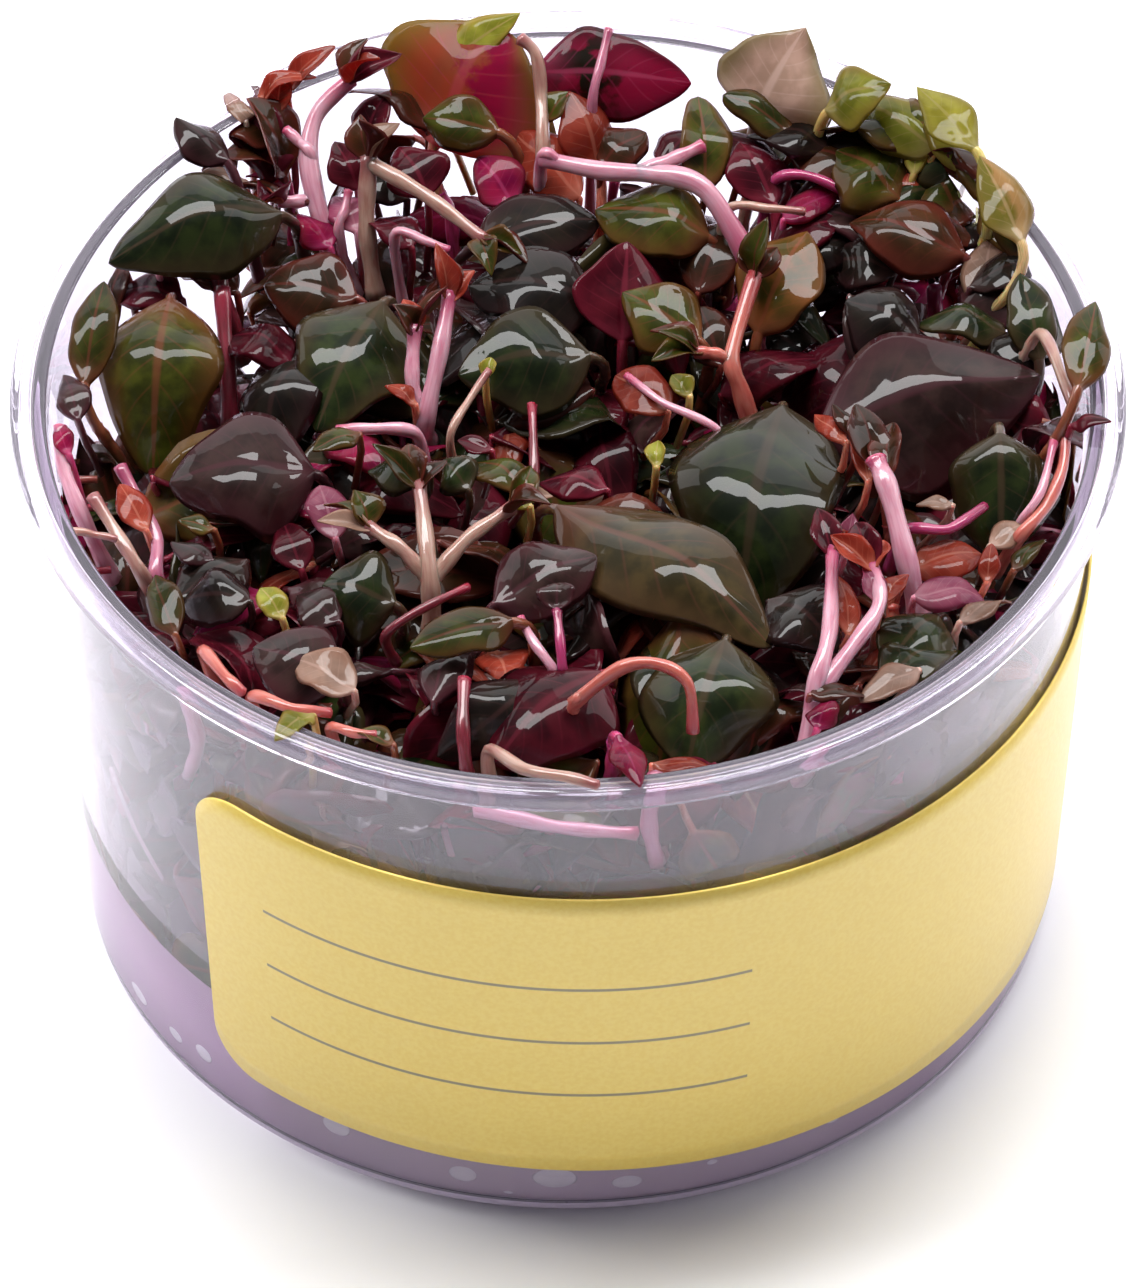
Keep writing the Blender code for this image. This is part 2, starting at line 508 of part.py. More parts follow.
def build():
    """Make every object of the part."""
    for item in list(bpy.data.objects):
        bpy.data.objects.remove(item, do_unlink=True)

    holder = {"cup": cup_shape(), "gel": gel_shape(), "label": label_shape()}
    for name, shape in holder.items():
        add_object(name, *shape, name)

    placed = [tree_of(holder["cup"])]
    grown_trees = []
    for stem in STEMS:
        grown = [limb_shape(limb, GAP) for limb in stem.limbs]
        shift = settle(stem.name, grown, placed)
        limbs = [moved(limb_shape(limb), shift) for limb in stem.limbs]
        placed += [tree_of(limb) for limb in limbs]
        grown_trees += [tree_of(moved(limb, shift)) for limb in grown]
        add_stem(stem, limbs)

    for leaf in LEAVES:
        name = "leaf_" + leaf.name
        grown = leaf_shape(leaf, GAP)
        shift = settle(name, [grown], placed)
        shape = moved(leaf_shape(leaf), shift)
        placed.append(tree_of(shape))
        grown_trees.append(tree_of(moved(grown, shift)))
        add_object(name, *shape, leaf.tone)

    for name, facing in CLUMPS:
        add_object(name, *fitted_clump(facing, grown_trees), "clump")


build()
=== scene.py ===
import json
import math
import random
from collections import namedtuple

import bpy
import numpy as np
from mathutils import Matrix, Vector
from mathutils.bvhtree import BVHTree

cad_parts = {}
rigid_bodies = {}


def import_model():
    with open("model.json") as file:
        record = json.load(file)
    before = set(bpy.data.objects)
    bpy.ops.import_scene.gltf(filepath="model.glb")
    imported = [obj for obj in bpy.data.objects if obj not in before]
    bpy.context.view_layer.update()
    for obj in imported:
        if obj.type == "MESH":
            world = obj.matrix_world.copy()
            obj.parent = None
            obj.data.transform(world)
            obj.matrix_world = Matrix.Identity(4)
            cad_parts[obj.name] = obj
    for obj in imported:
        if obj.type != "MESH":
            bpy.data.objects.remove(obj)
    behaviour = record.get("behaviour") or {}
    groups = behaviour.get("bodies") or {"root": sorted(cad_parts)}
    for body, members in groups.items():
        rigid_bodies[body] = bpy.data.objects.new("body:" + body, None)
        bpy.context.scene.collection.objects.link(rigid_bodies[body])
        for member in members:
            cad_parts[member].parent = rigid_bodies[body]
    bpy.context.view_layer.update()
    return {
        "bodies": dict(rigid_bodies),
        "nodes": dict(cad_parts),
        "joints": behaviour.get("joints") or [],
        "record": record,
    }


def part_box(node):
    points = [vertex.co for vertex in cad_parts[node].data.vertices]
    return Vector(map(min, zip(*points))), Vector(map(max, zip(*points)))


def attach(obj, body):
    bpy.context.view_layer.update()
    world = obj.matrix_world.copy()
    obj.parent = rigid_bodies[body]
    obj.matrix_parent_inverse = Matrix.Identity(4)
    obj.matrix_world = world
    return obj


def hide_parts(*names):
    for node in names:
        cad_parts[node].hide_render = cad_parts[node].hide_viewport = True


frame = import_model()

# Alternanthera reineckii in its clear culture cup.
# Lengths are millimetres until a mesh is made, and the cup stands on its base centre, front at -Y.
MM = 0.001
UP = Vector((0.0, 0.0, 1.0))

# Cup, as built
CUP_HEIGHT = 62.0
LIP_RADIUS = 50.5
LIP_DEPTH = 2.1
LIP_WALL = 0.9
WALL_RADIUS_TOP = 48.35
WALL_RADIUS_BASE = 45.4
WALL = 1.15
RIM_STEP = 1.0
FLANGE = 1.1
FLOOR = 1.3
CORNER = 2.0
TURNED_SIDES = 180
BASE_RINGS = (0.0, 20.0, 34.0)
OUTER_WALL_RINGS = (12.0, 24.0, 36.0, 48.0, 58.0)
INNER_WALL_RINGS = (56.0, 44.0, 32.0, 20.0, 10.0)
FLOOR_RINGS = (30.0, 0.0)

# Small rounds of the cup's rim
STEP_WIDTH = 0.3
STEP_FILLET = 0.25
STEP_FOOT = 0.1
STEP_FOOT_LIFT = 0.12
RIM_ROUND = 0.35
RIM_CROWN = (0.6, 0.06)        # the rim's top rises by the second over the first, in from its edge
RIM_DROP = 0.3
UNDER_FILLET = 0.6             # between the wall and the flange
LIP_ROOT_FILLET = 0.3
LIP_INNER_ROUND = 0.2
LIP_OUTER_ROUND = 0.3
LIP_SHOULDER = 0.9

# Gel and label, as built
GEL_TOP = 15.0
MENISCUS = 1.4
GEL_GAP = 0.08
GEL_TOP_RINGS = (38.0, 34.0, 30.0, 26.0, 22.0, 18.0, 14.0, 10.0, 6.0, 3.0)
SWELL = 0.25
SWELL_RUN = 8.0                # the swell of the gel's top sets in over this distance from the wall
MENISCUS_STEPS = ((0.5, 0.9), (1.4, 0.35))    # distance from the wall, and height over the gel's top
MENISCUS_RUN = 3.5
GEL_IOR = 1.34
PLASTIC_IOR = 1.49
BUBBLE_THICKNESS = 0.13
BUBBLE_DEPTH = -0.015          # a pocket stands out of the gel a little and touches the wall
BUBBLE_RINGS = 7
BUBBLE_SECTORS = 16
LABEL_THICKNESS = 0.25
LABEL_LOW = 7.5
LABEL_HIGH = 46.0
LABEL_CORNER = 5.0
LABEL_START = -134.0
LABEL_END = 12.0
LABEL_SLANT = -1.8
LABEL_GAP = 0.3
LABEL_CORNER_STEPS = 12
LABEL_COLUMNS = 150
LABEL_ROWS = 16
RULE_START = 7.0               # from the label's left end
RULED_LINES = ((26.0, 44.0), (18.5, 44.0), (11.0, 44.0))    # height on the label, and length

# Air pockets between the gel and the wall: place across, height, width and height of each
BUBBLES = (
    (-39.0, 4.0, 3.0, 1.6), (-35.6, 4.4, 2.0, 1.4),
    (-33.0, 5.5, 2.2, 1.8), (-9.5, 4.4, 2.6, 2.1), (-1.2, 5.0, 4.1, 2.7), (5.3, 4.1, 2.8, 1.7),
    (-5.4, 2.5, 0.9, 0.4), (13.0, 5.0, 1.0, 0.7), (-20.9, 6.3, 2.8, 2.4), (24.0, 5.2, 1.5, 1.0),
)

# Leaves and stems, as built
BLADE_HALF_THICKNESS = 0.25
STALK_RADIUS = 0.7
STALK_BEND = 0.4
STALK_STATIONS = (0.0, 0.55)
PLAIN_STATIONS = (0.06, 0.26, 0.50, 0.75, 0.93)
RING_PLACES = ((-1, 0), (-0.5, 1), (0, 1), (0.5, 1), (1, 0), (0.5, -1), (0, -1), (-0.5, -1))
DROOP_CURVE = 1.6
BLADE_TAPER = 0.72
BLADE_SHIFT = 0.8

# Leaves and stems, as they show: half thickness of the blade, stalk radius and bend of the stalk
LeafMake = namedtuple("LeafMake", "thick stalk_radius stalk_bend")
FULL_LEAF = LeafMake(0.12, 0.52, STALK_BEND)
SMALL_LEAF = LeafMake(0.1, 0.36, 0.15)
BLADE_ROWS, LEAST_BLADE_ROWS = 28, 9
STALK_ROWS, LEAST_STALK_ROWS = 6, 3
BLADE_COLUMNS, LEAST_BLADE_COLUMNS = 19, 7
SIDE_VEINS = 7.0               # pairs along a blade
VEIN_RISE = 0.26               # share of the blade that a side vein climbs on its way to the margin
LOBE_DEPTH = 0.09              # of the margin, as shares of the half width
NICK_DEPTH = 0.03
FIELD_RISE = 0.022             # heights on a blade 10 mm wide: of the fields between side veins,
RIPPLE = 0.3                   # of the wavy margin,
SLOW_WAVE = 0.16               # and of the slow wave along the blade
KINK_SOFTNESS = 0.3
RIB_WIDTH = 0.4
RIB_PRESSED = 0.22             # the midrib lies this deep above,
RIB_PROUD = 0.30               # and stands out this far below
LEAST_HALF_WIDTH = 0.03
STALK_END = 0.93               # share of the stalk where the blade takes over
ANY_PHASE = 6.3                # about a full turn, in radians
STALK_TAPER = 0.75
STREAK_RUN = 6.0               # streaks along a stem, and round it
STREAKS_ROUND = 14.0
LIMB_SLIMMER = 0.9             # a grown stem is this much slimmer than its solid
LIMB_SWELL = 0.12              # and swells by this share at its ends,
LIMB_ENDS = (0.08, 0.06)       # over these shares of its length
LIMB_KNOBS = 0.09
LIMB_KNOB_PITCH = 17.0
LIMB_SIDES = 20
FINE_STALK_SIDES = 8
ROOT_SIDES = 6
PATH_ROUNDS = 3                # times that the gaps between a path's stops are halved
LIMB_WIDE = 1.06               # it is a little wider than deep
LIMB_FLAT = 0.92
SEEN_LEVEL = 58.0              # height of the leafy top that places are read on
SEEN_SLOPE = 0.96              # how far back a place lies for each millimetre below that level

Leaf = namedtuple("Leaf", "name root base tip width arch turn twist left right tone")

LEAVES = tuple(Leaf(*row) for row in (
    ("rim_right", (43, -4, 57), (46, -1, 62.9), (48, 9, 64.4), 4.5, 0.8, 10, 8, 0.2, 0.3, "olive"),
    ("rim_yellow", (38.5, 24.5, 57), (37.5, 29.5, 63.4), (32, 37, 64.8), 4.5, 0.8, -10, -15, 0.1, 0.4,
     "lime"),
    ("rim_purple", (-30, 28, 56), (-31.5, 30, 61.5), (-36, 33.5, 64.2), 5, 0.6, 0, 20, 0.5, 0.5, "purple"),
    ("rim_pink_tip", (4, -40, 57), (4.4, -43.5, 62), (6.3, -50, 63.1), 3, 0.6, 0, 0, 0.3, 0.3, "magenta"),
    ("back_tan", (17, 34, 55), (17.5, 37.5, 60), (21.8, 42.3, 67), 12, 1, 12, 0, 0, 0.35, "tan"),
    ("back_big", (-11, 34, 51), (-12.5, 37, 57), (-6.5, 44.5, 65.3), 16, 1.5, -8, 10, -0.2, 0.7, "magenta"),
    ("right_round", (19, 6, 50), (19.5, 4, 55.5), (15, -19, 49.5), 16, 6, 0, 6, 0.15, 0.35, "green"),
    ("right_big", (22, 4, 51), (23, -0.5, 57), (43, 5.5, 59), 13, 2, 12, 0, 0, 0.95, "purple"),
    ("left_bright", (-35, 19, 51), (-36.5, 16.5, 57), (-38, 1, 50), 11, 5, 0, 6, 0.25, 0.35, "olive"),
    ("left_arched", (-25, 29, 53), (-26.5, 25, 59.5), (-42, 18.5, 60.5), 9.5, 4, -12, 0, 0.75, 0.25, "green"),
    ("front_diagonal", (-3, -6, 50), (-1, -9.5, 56), (18, -26, 57), 11, 2.5, -6, 10, 0.1, 0.5, "brown"),
    ("front_maroon", (3, -28, 50), (3, -31, 57), (-6.5, -40, 55.5), 12, 2.5, 0, -10, 0.5, 0.4, "maroon"),
    ("front_green", (14, -23, 49), (14, -26, 56), (10.5, -38, 52), 12, 2.5, 0, -8, 0.3, 0.45, "green"),
    ("mid_left_green", (-16, 19, 51), (-17, 16, 57), (-23, 3.5, 53), 11, 2.5, 0, 10, 0.6, 0.1, "green"),
    ("left_purple", (-22, -2, 49), (-23, -4, 55), (-36, -5.5, 56), 12, 2.5, -14, 0, 0.55, 0.1, "purple"),
    ("back_magenta", (-4, 36, 54), (-3, 41.5, 62), (11.5, 41, 61.5), 8.5, 1.5, 30, -10, 0, 0.5, "maroon"),
    ("mid_highlight", (4, 20, 50), (2.5, 17.5, 55.5), (-9, 19, 57), 10, 2, -8, 10, 0.5, 0.1, "dark"),
    ("mid_olive", (15, 26, 51), (13, 25, 56.5), (2.5, 28, 57.5), 9, 2.5, -8, 0, 0.45, 0.35, "olive"),
    ("mid_dark", (-10, 27, 51), (-8.5, 24.5, 56), (3, 27.5, 56.5), 8, 2, 10, 0, 0.1, 0.5, "dark"),
    ("mid_grey", (3, 13, 49), (2, 11, 55), (-10, 8.5, 55.5), 10, 1.5, -6, -12, 0.5, 0, "green"),
    ("mid_crimson", (5, 16, 46), (5, 17, 51), (5.5, 24.5, 56.5), 9, 1, 0, 15, -0.2, 0.3, "maroon"),
    ("mid_small_olive", (13, 15, 50), (12, 13, 55), (5, 17.5, 57), 7, 1, -8, 0, 0.4, 0.1, "olive"),
    ("right_brown", (36, 20, 51), (36.5, 22, 57), (26, 26, 58), 8, 2, -8, 8, 0.6, 0.1, "brown"),
    ("right_dark_olive", (29, 28, 52), (30.5, 29, 57.5), (25, 33.5, 60), 9, 1.5, 0, 0, 0.4, 0.2, "olive"),
    ("back_yellow_green", (23, 37, 56), (24, 36.5, 61.5), (29.5, 37, 65), 6.5, 1, 0, 20, 0.2, 0.3, "lime"),
    ("right_cream", (39, 17, 55), (41.5, 19.5, 61.3), (37.8, 28, 64.2), 5, 1, -8, -15, 0.1, 0.5, "lime"),
    ("right_mauve", (19, 26, 52), (19, 29, 57), (16, 34.5, 60), 6.5, 1, 0, 12, 0, 0.4, "maroon"),
    ("right_orange", (17, 14, 48), (17.5, 16, 53), (22, 25, 57.5), 8, 1.5, 0, -12, -0.1, 0.3, "brown"),
    ("right_arc", (33, 11, 50), (32, 13, 55.5), (25.5, 16, 57.5), 7.5, 1.5, -10, 10, 0.6, 0.2, "dark"),
    ("right_wall_green", (42, 8, 51), (43, 9.5, 56), (41.5, 17, 60), 5, 1, 0, 10, 0.3, 0.1, "green"),
    ("left_wall", (-42, 4, 51), (-44, 6.5, 56), (-42.5, 16.5, 59.5), 4.5, 1, 0, -10, 0.1, 0.4, "olive"),
    ("left_folded", (-19, 19, 48), (-19.5, 19.5, 54), (-28, 20.5, 55), 8, 1, -10, 8, 0.7, -0.1, "brown"),
    ("back_left_red", (-25.5, 33, 51), (-26.5, 34, 56), (-29.5, 36.5, 63.5),
     7.5, 1, 0, 20, -0.6, -0.2, "brown"),
    ("back_small_olive", (-4, 34, 54), (-6.5, 35.5, 60), (-13.5, 37, 60.5),
     5.5, 1, -25, -10, 0.4, 0.1, "olive"),
    ("back_salmon", (3, 32, 51), (3, 34.5, 55.5), (0.5, 39.5, 61.5), 6, 1, 0, 12, 0.1, 0.4, "salmon"),
    ("right_green", (38, 2, 51), (39, -1, 57), (39, -10.5, 50.5), 10, 2, 0, 0, 0.4, 0.5, "green"),
    ("red_shoot", (29, -12, 54), (28, -9, 60.5), (26, -2.5, 62.5), 4.5, 0.8, 0, 18, -0.4, 0, "brown"),
    ("right_orange_red", (29, -20, 52), (31, -18.5, 57.5), (37, -17, 58.5),
     5.5, 0.8, 0, -15, 0.1, 0.4, "salmon"),
    ("front_right_dark", (34, -20, 50), (33, -23, 56), (28.5, -29, 56), 7.5, 1.5, 0, 8, 0.5, 0.3, "green"),
    ("front_purple", (-7, -19, 50), (-6.5, -21, 55.5), (2.5, -17, 58), 8, 1.5, 12, -8, 0.1, 0.5, "purple"),
    ("front_small_olive", (-3, -24, 53), (-5, -26.5, 59), (-14, -30, 59.5),
     5.5, 1, -8, 10, 0.4, 0.1, "olive"),
    ("front_left_dark", (-15, -20, 50), (-15.5, -21, 55.5), (-22, -19.5, 56.5),
     8, 1.5, -14, -8, 0.6, 0.2, "green"),
    ("front_left_purple", (-20, -29, 51), (-20.5, -31, 56), (-28, -27.5, 57),
     8, 1.5, -14, 10, 0.5, 0.1, "purple"),
))

# Where the broad leaves bend over: the crest along the blade, and the crease on the left and right
# of the midrib, as shares of the length and the half width.
BENDS = {
    "left_bright": (0.42, 0.5, 0.5),
    "left_arched": (0.5, 0.15, 0.4),
    "left_purple": (0.5, 0.45, 0.6),
    "left_wall": (0.6, 0.4, 0.1),
    "mid_left_green": (0.55, 0.12, 0.6),
    "mid_highlight": (0.5, 0.2, 0.5),
    "mid_olive": (0.4, 0.3, 0.2),
    "right_round": (0.52, 0.5, 0.6),
    "right_big": (0.5, 0.4, 0.06),
    "right_green": (0.25, 0.5, 0.5),
    "right_arc": (0.5, 0.35, 0.5),
    "front_diagonal": (0.6, 0.4, 0.25),
    "front_maroon": (0.5, 0.3, 0.35),
    "front_green": (0.4, 0.4, 0.3),
    "front_purple": (0.5, 0.4, 0.35),
    "back_big": (0.6, 0.3, 0.1),
    "back_magenta": (0.5, 0.4, 0.2),
}
# Leaves with a shape of their own: how fast the blade tapers, and the power of the share along it
# that sets where it is widest (under 0.7 is near the foot)
OUTLINES = {
    "back_tan": (0.95, 0.58),
    "back_big": (0.6, 0.8),
    "right_cream": (0.9, 0.8),
    "rim_yellow": (0.9, 0.8),
    "back_yellow_green": (0.85, 0.75),
    "left_bright": (0.62, 0.9),
    "right_brown": (0.85, 0.8),
}
# Degrees that these blades are turned from their solids
TILTS = {"right_big": -8.0, "left_purple": 5.0}
CREASE_SOFTNESS = 0.2
CREASE_BOUNDS = ((0.4, 0.65), (0.05, 0.6), (0.05, 0.6))    # for the other leaves

Stem = namedtuple("Stem", "name tone limbs")

STEMS = (
    Stem("stem_front_right", "pink", (
        (1.1, 0.7, ((21, -37, 52), (22, -33, 58), (23.2, -28, 59.5), (23.6, -18, 59.5))),
        (0.9, 0.7, ((22.2, -33.2, 57.4), (26, -28.5, 59.5), (27.7, -25, 60.3), (27, -21, 60.8))))),
    Stem("stem_front_fork", "tan", (
        (1.1, 0.7, ((-12.2, -20, 51), (-12.4, -18.3, 57), (-13.4, -9.5, 59.5))),
        (0.8, 0.6, ((-12.3, -18.6, 56), (-15, -16.5, 58.2), (-18, -14.2, 58.6))),
        (0.8, 0.6, ((-12.3, -18.6, 56), (-9, -15.5, 58.4), (-5, -12, 58.8))))),
    Stem("stem_cut", "pink", (
        (1.1, 1.0, ((31.5, -20, 53), (30.3, -18, 58), (28.7, -12.5, 61.5), (27.6, -9.5, 62.4))),)),
    Stem("stem_front_arch", "salmon", (
        (0.8, 0.6, ((0.5, -35, 57.5), (4.6, -34.5, 61.5), (8, -34.5, 62), (10.6, -36, 61), (11, -38, 57))),)),
    Stem("stem_salmon_mid", "salmon", (
        (1.0, 0.7, ((17, 7.5, 49), (15.6, 9, 53.5), (15, 11, 55.5), (17.2, 18.8, 58))),
        (0.7, 0.6, ((15.1, 10.4, 55), (13.4, 10.4, 56), (11.6, 10.2, 56.4))))),
    Stem("stem_mid_pink", "pink", (
        (1.1, 0.8, ((-13, 7, 48), (-13, 6, 52), (-11.8, 10, 56), (-10.8, 15.5, 58.8))),
        (0.8, 0.7, ((-13, 6.3, 51.5), (-14.2, 8, 54.5), (-14, 12.5, 57.5))))),
    Stem("stem_back_tan", "tan", (
        (0.9, 0.9, ((-17.8, 24, 50), (-18.6, 27, 56), (-18.4, 31, 61.2))),
        (0.8, 0.6, ((-18.4, 30.6, 60.8), (-13, 27, 60), (-7.5, 22.5, 58.5))))),
    Stem("stem_back_left", "pink", (
        (1.2, 0.7, ((-20, 26, 48), (-22.6, 28, 55), (-24, 32.5, 59), (-23.2, 36.5, 61.5), (-20, 39, 63.5))),
        (0.7, 0.6, ((-23.4, 30, 56.8), (-25.2, 29.2, 57.2), (-26.8, 29, 57.4))))),
    Stem("stem_back_long", "pink", (
        (0.8, 1.1, ((-2.5, 32, 60), (3.5, 30, 60.3), (8, 29.6, 60.3), (12.7, 27.6, 60.2), (17.4, 22, 55))),
        (0.8, 0.6, ((6.5, 29.8, 60.3), (9.5, 31, 60.8), (12.5, 32.4, 61.3))))),
    Stem("stem_left_red", "maroon", (
        (1.0, 0.8, ((-30.8, 7, 47), (-31.2, 11, 52.5), (-31.8, 18, 57))),)),
)

# Stems that end bare, and the tones of the young leaves on the tips of the others
CUT_STEMS = ("stem_front_arch", "stem_back_long", "stem_cut", "stem_left_red")
TUFT_TONES = {
    "pink": ("brown", "salmon", "maroon"),
    "tan": ("olive", "tan", "brown"),
    "salmon": ("olive", "brown"),
}

# The lower shoots, a quarter of the cup each, from the back round by the left
CLUMPS = ("shoots_back", "shoots_left", "shoots_front", "shoots_right")

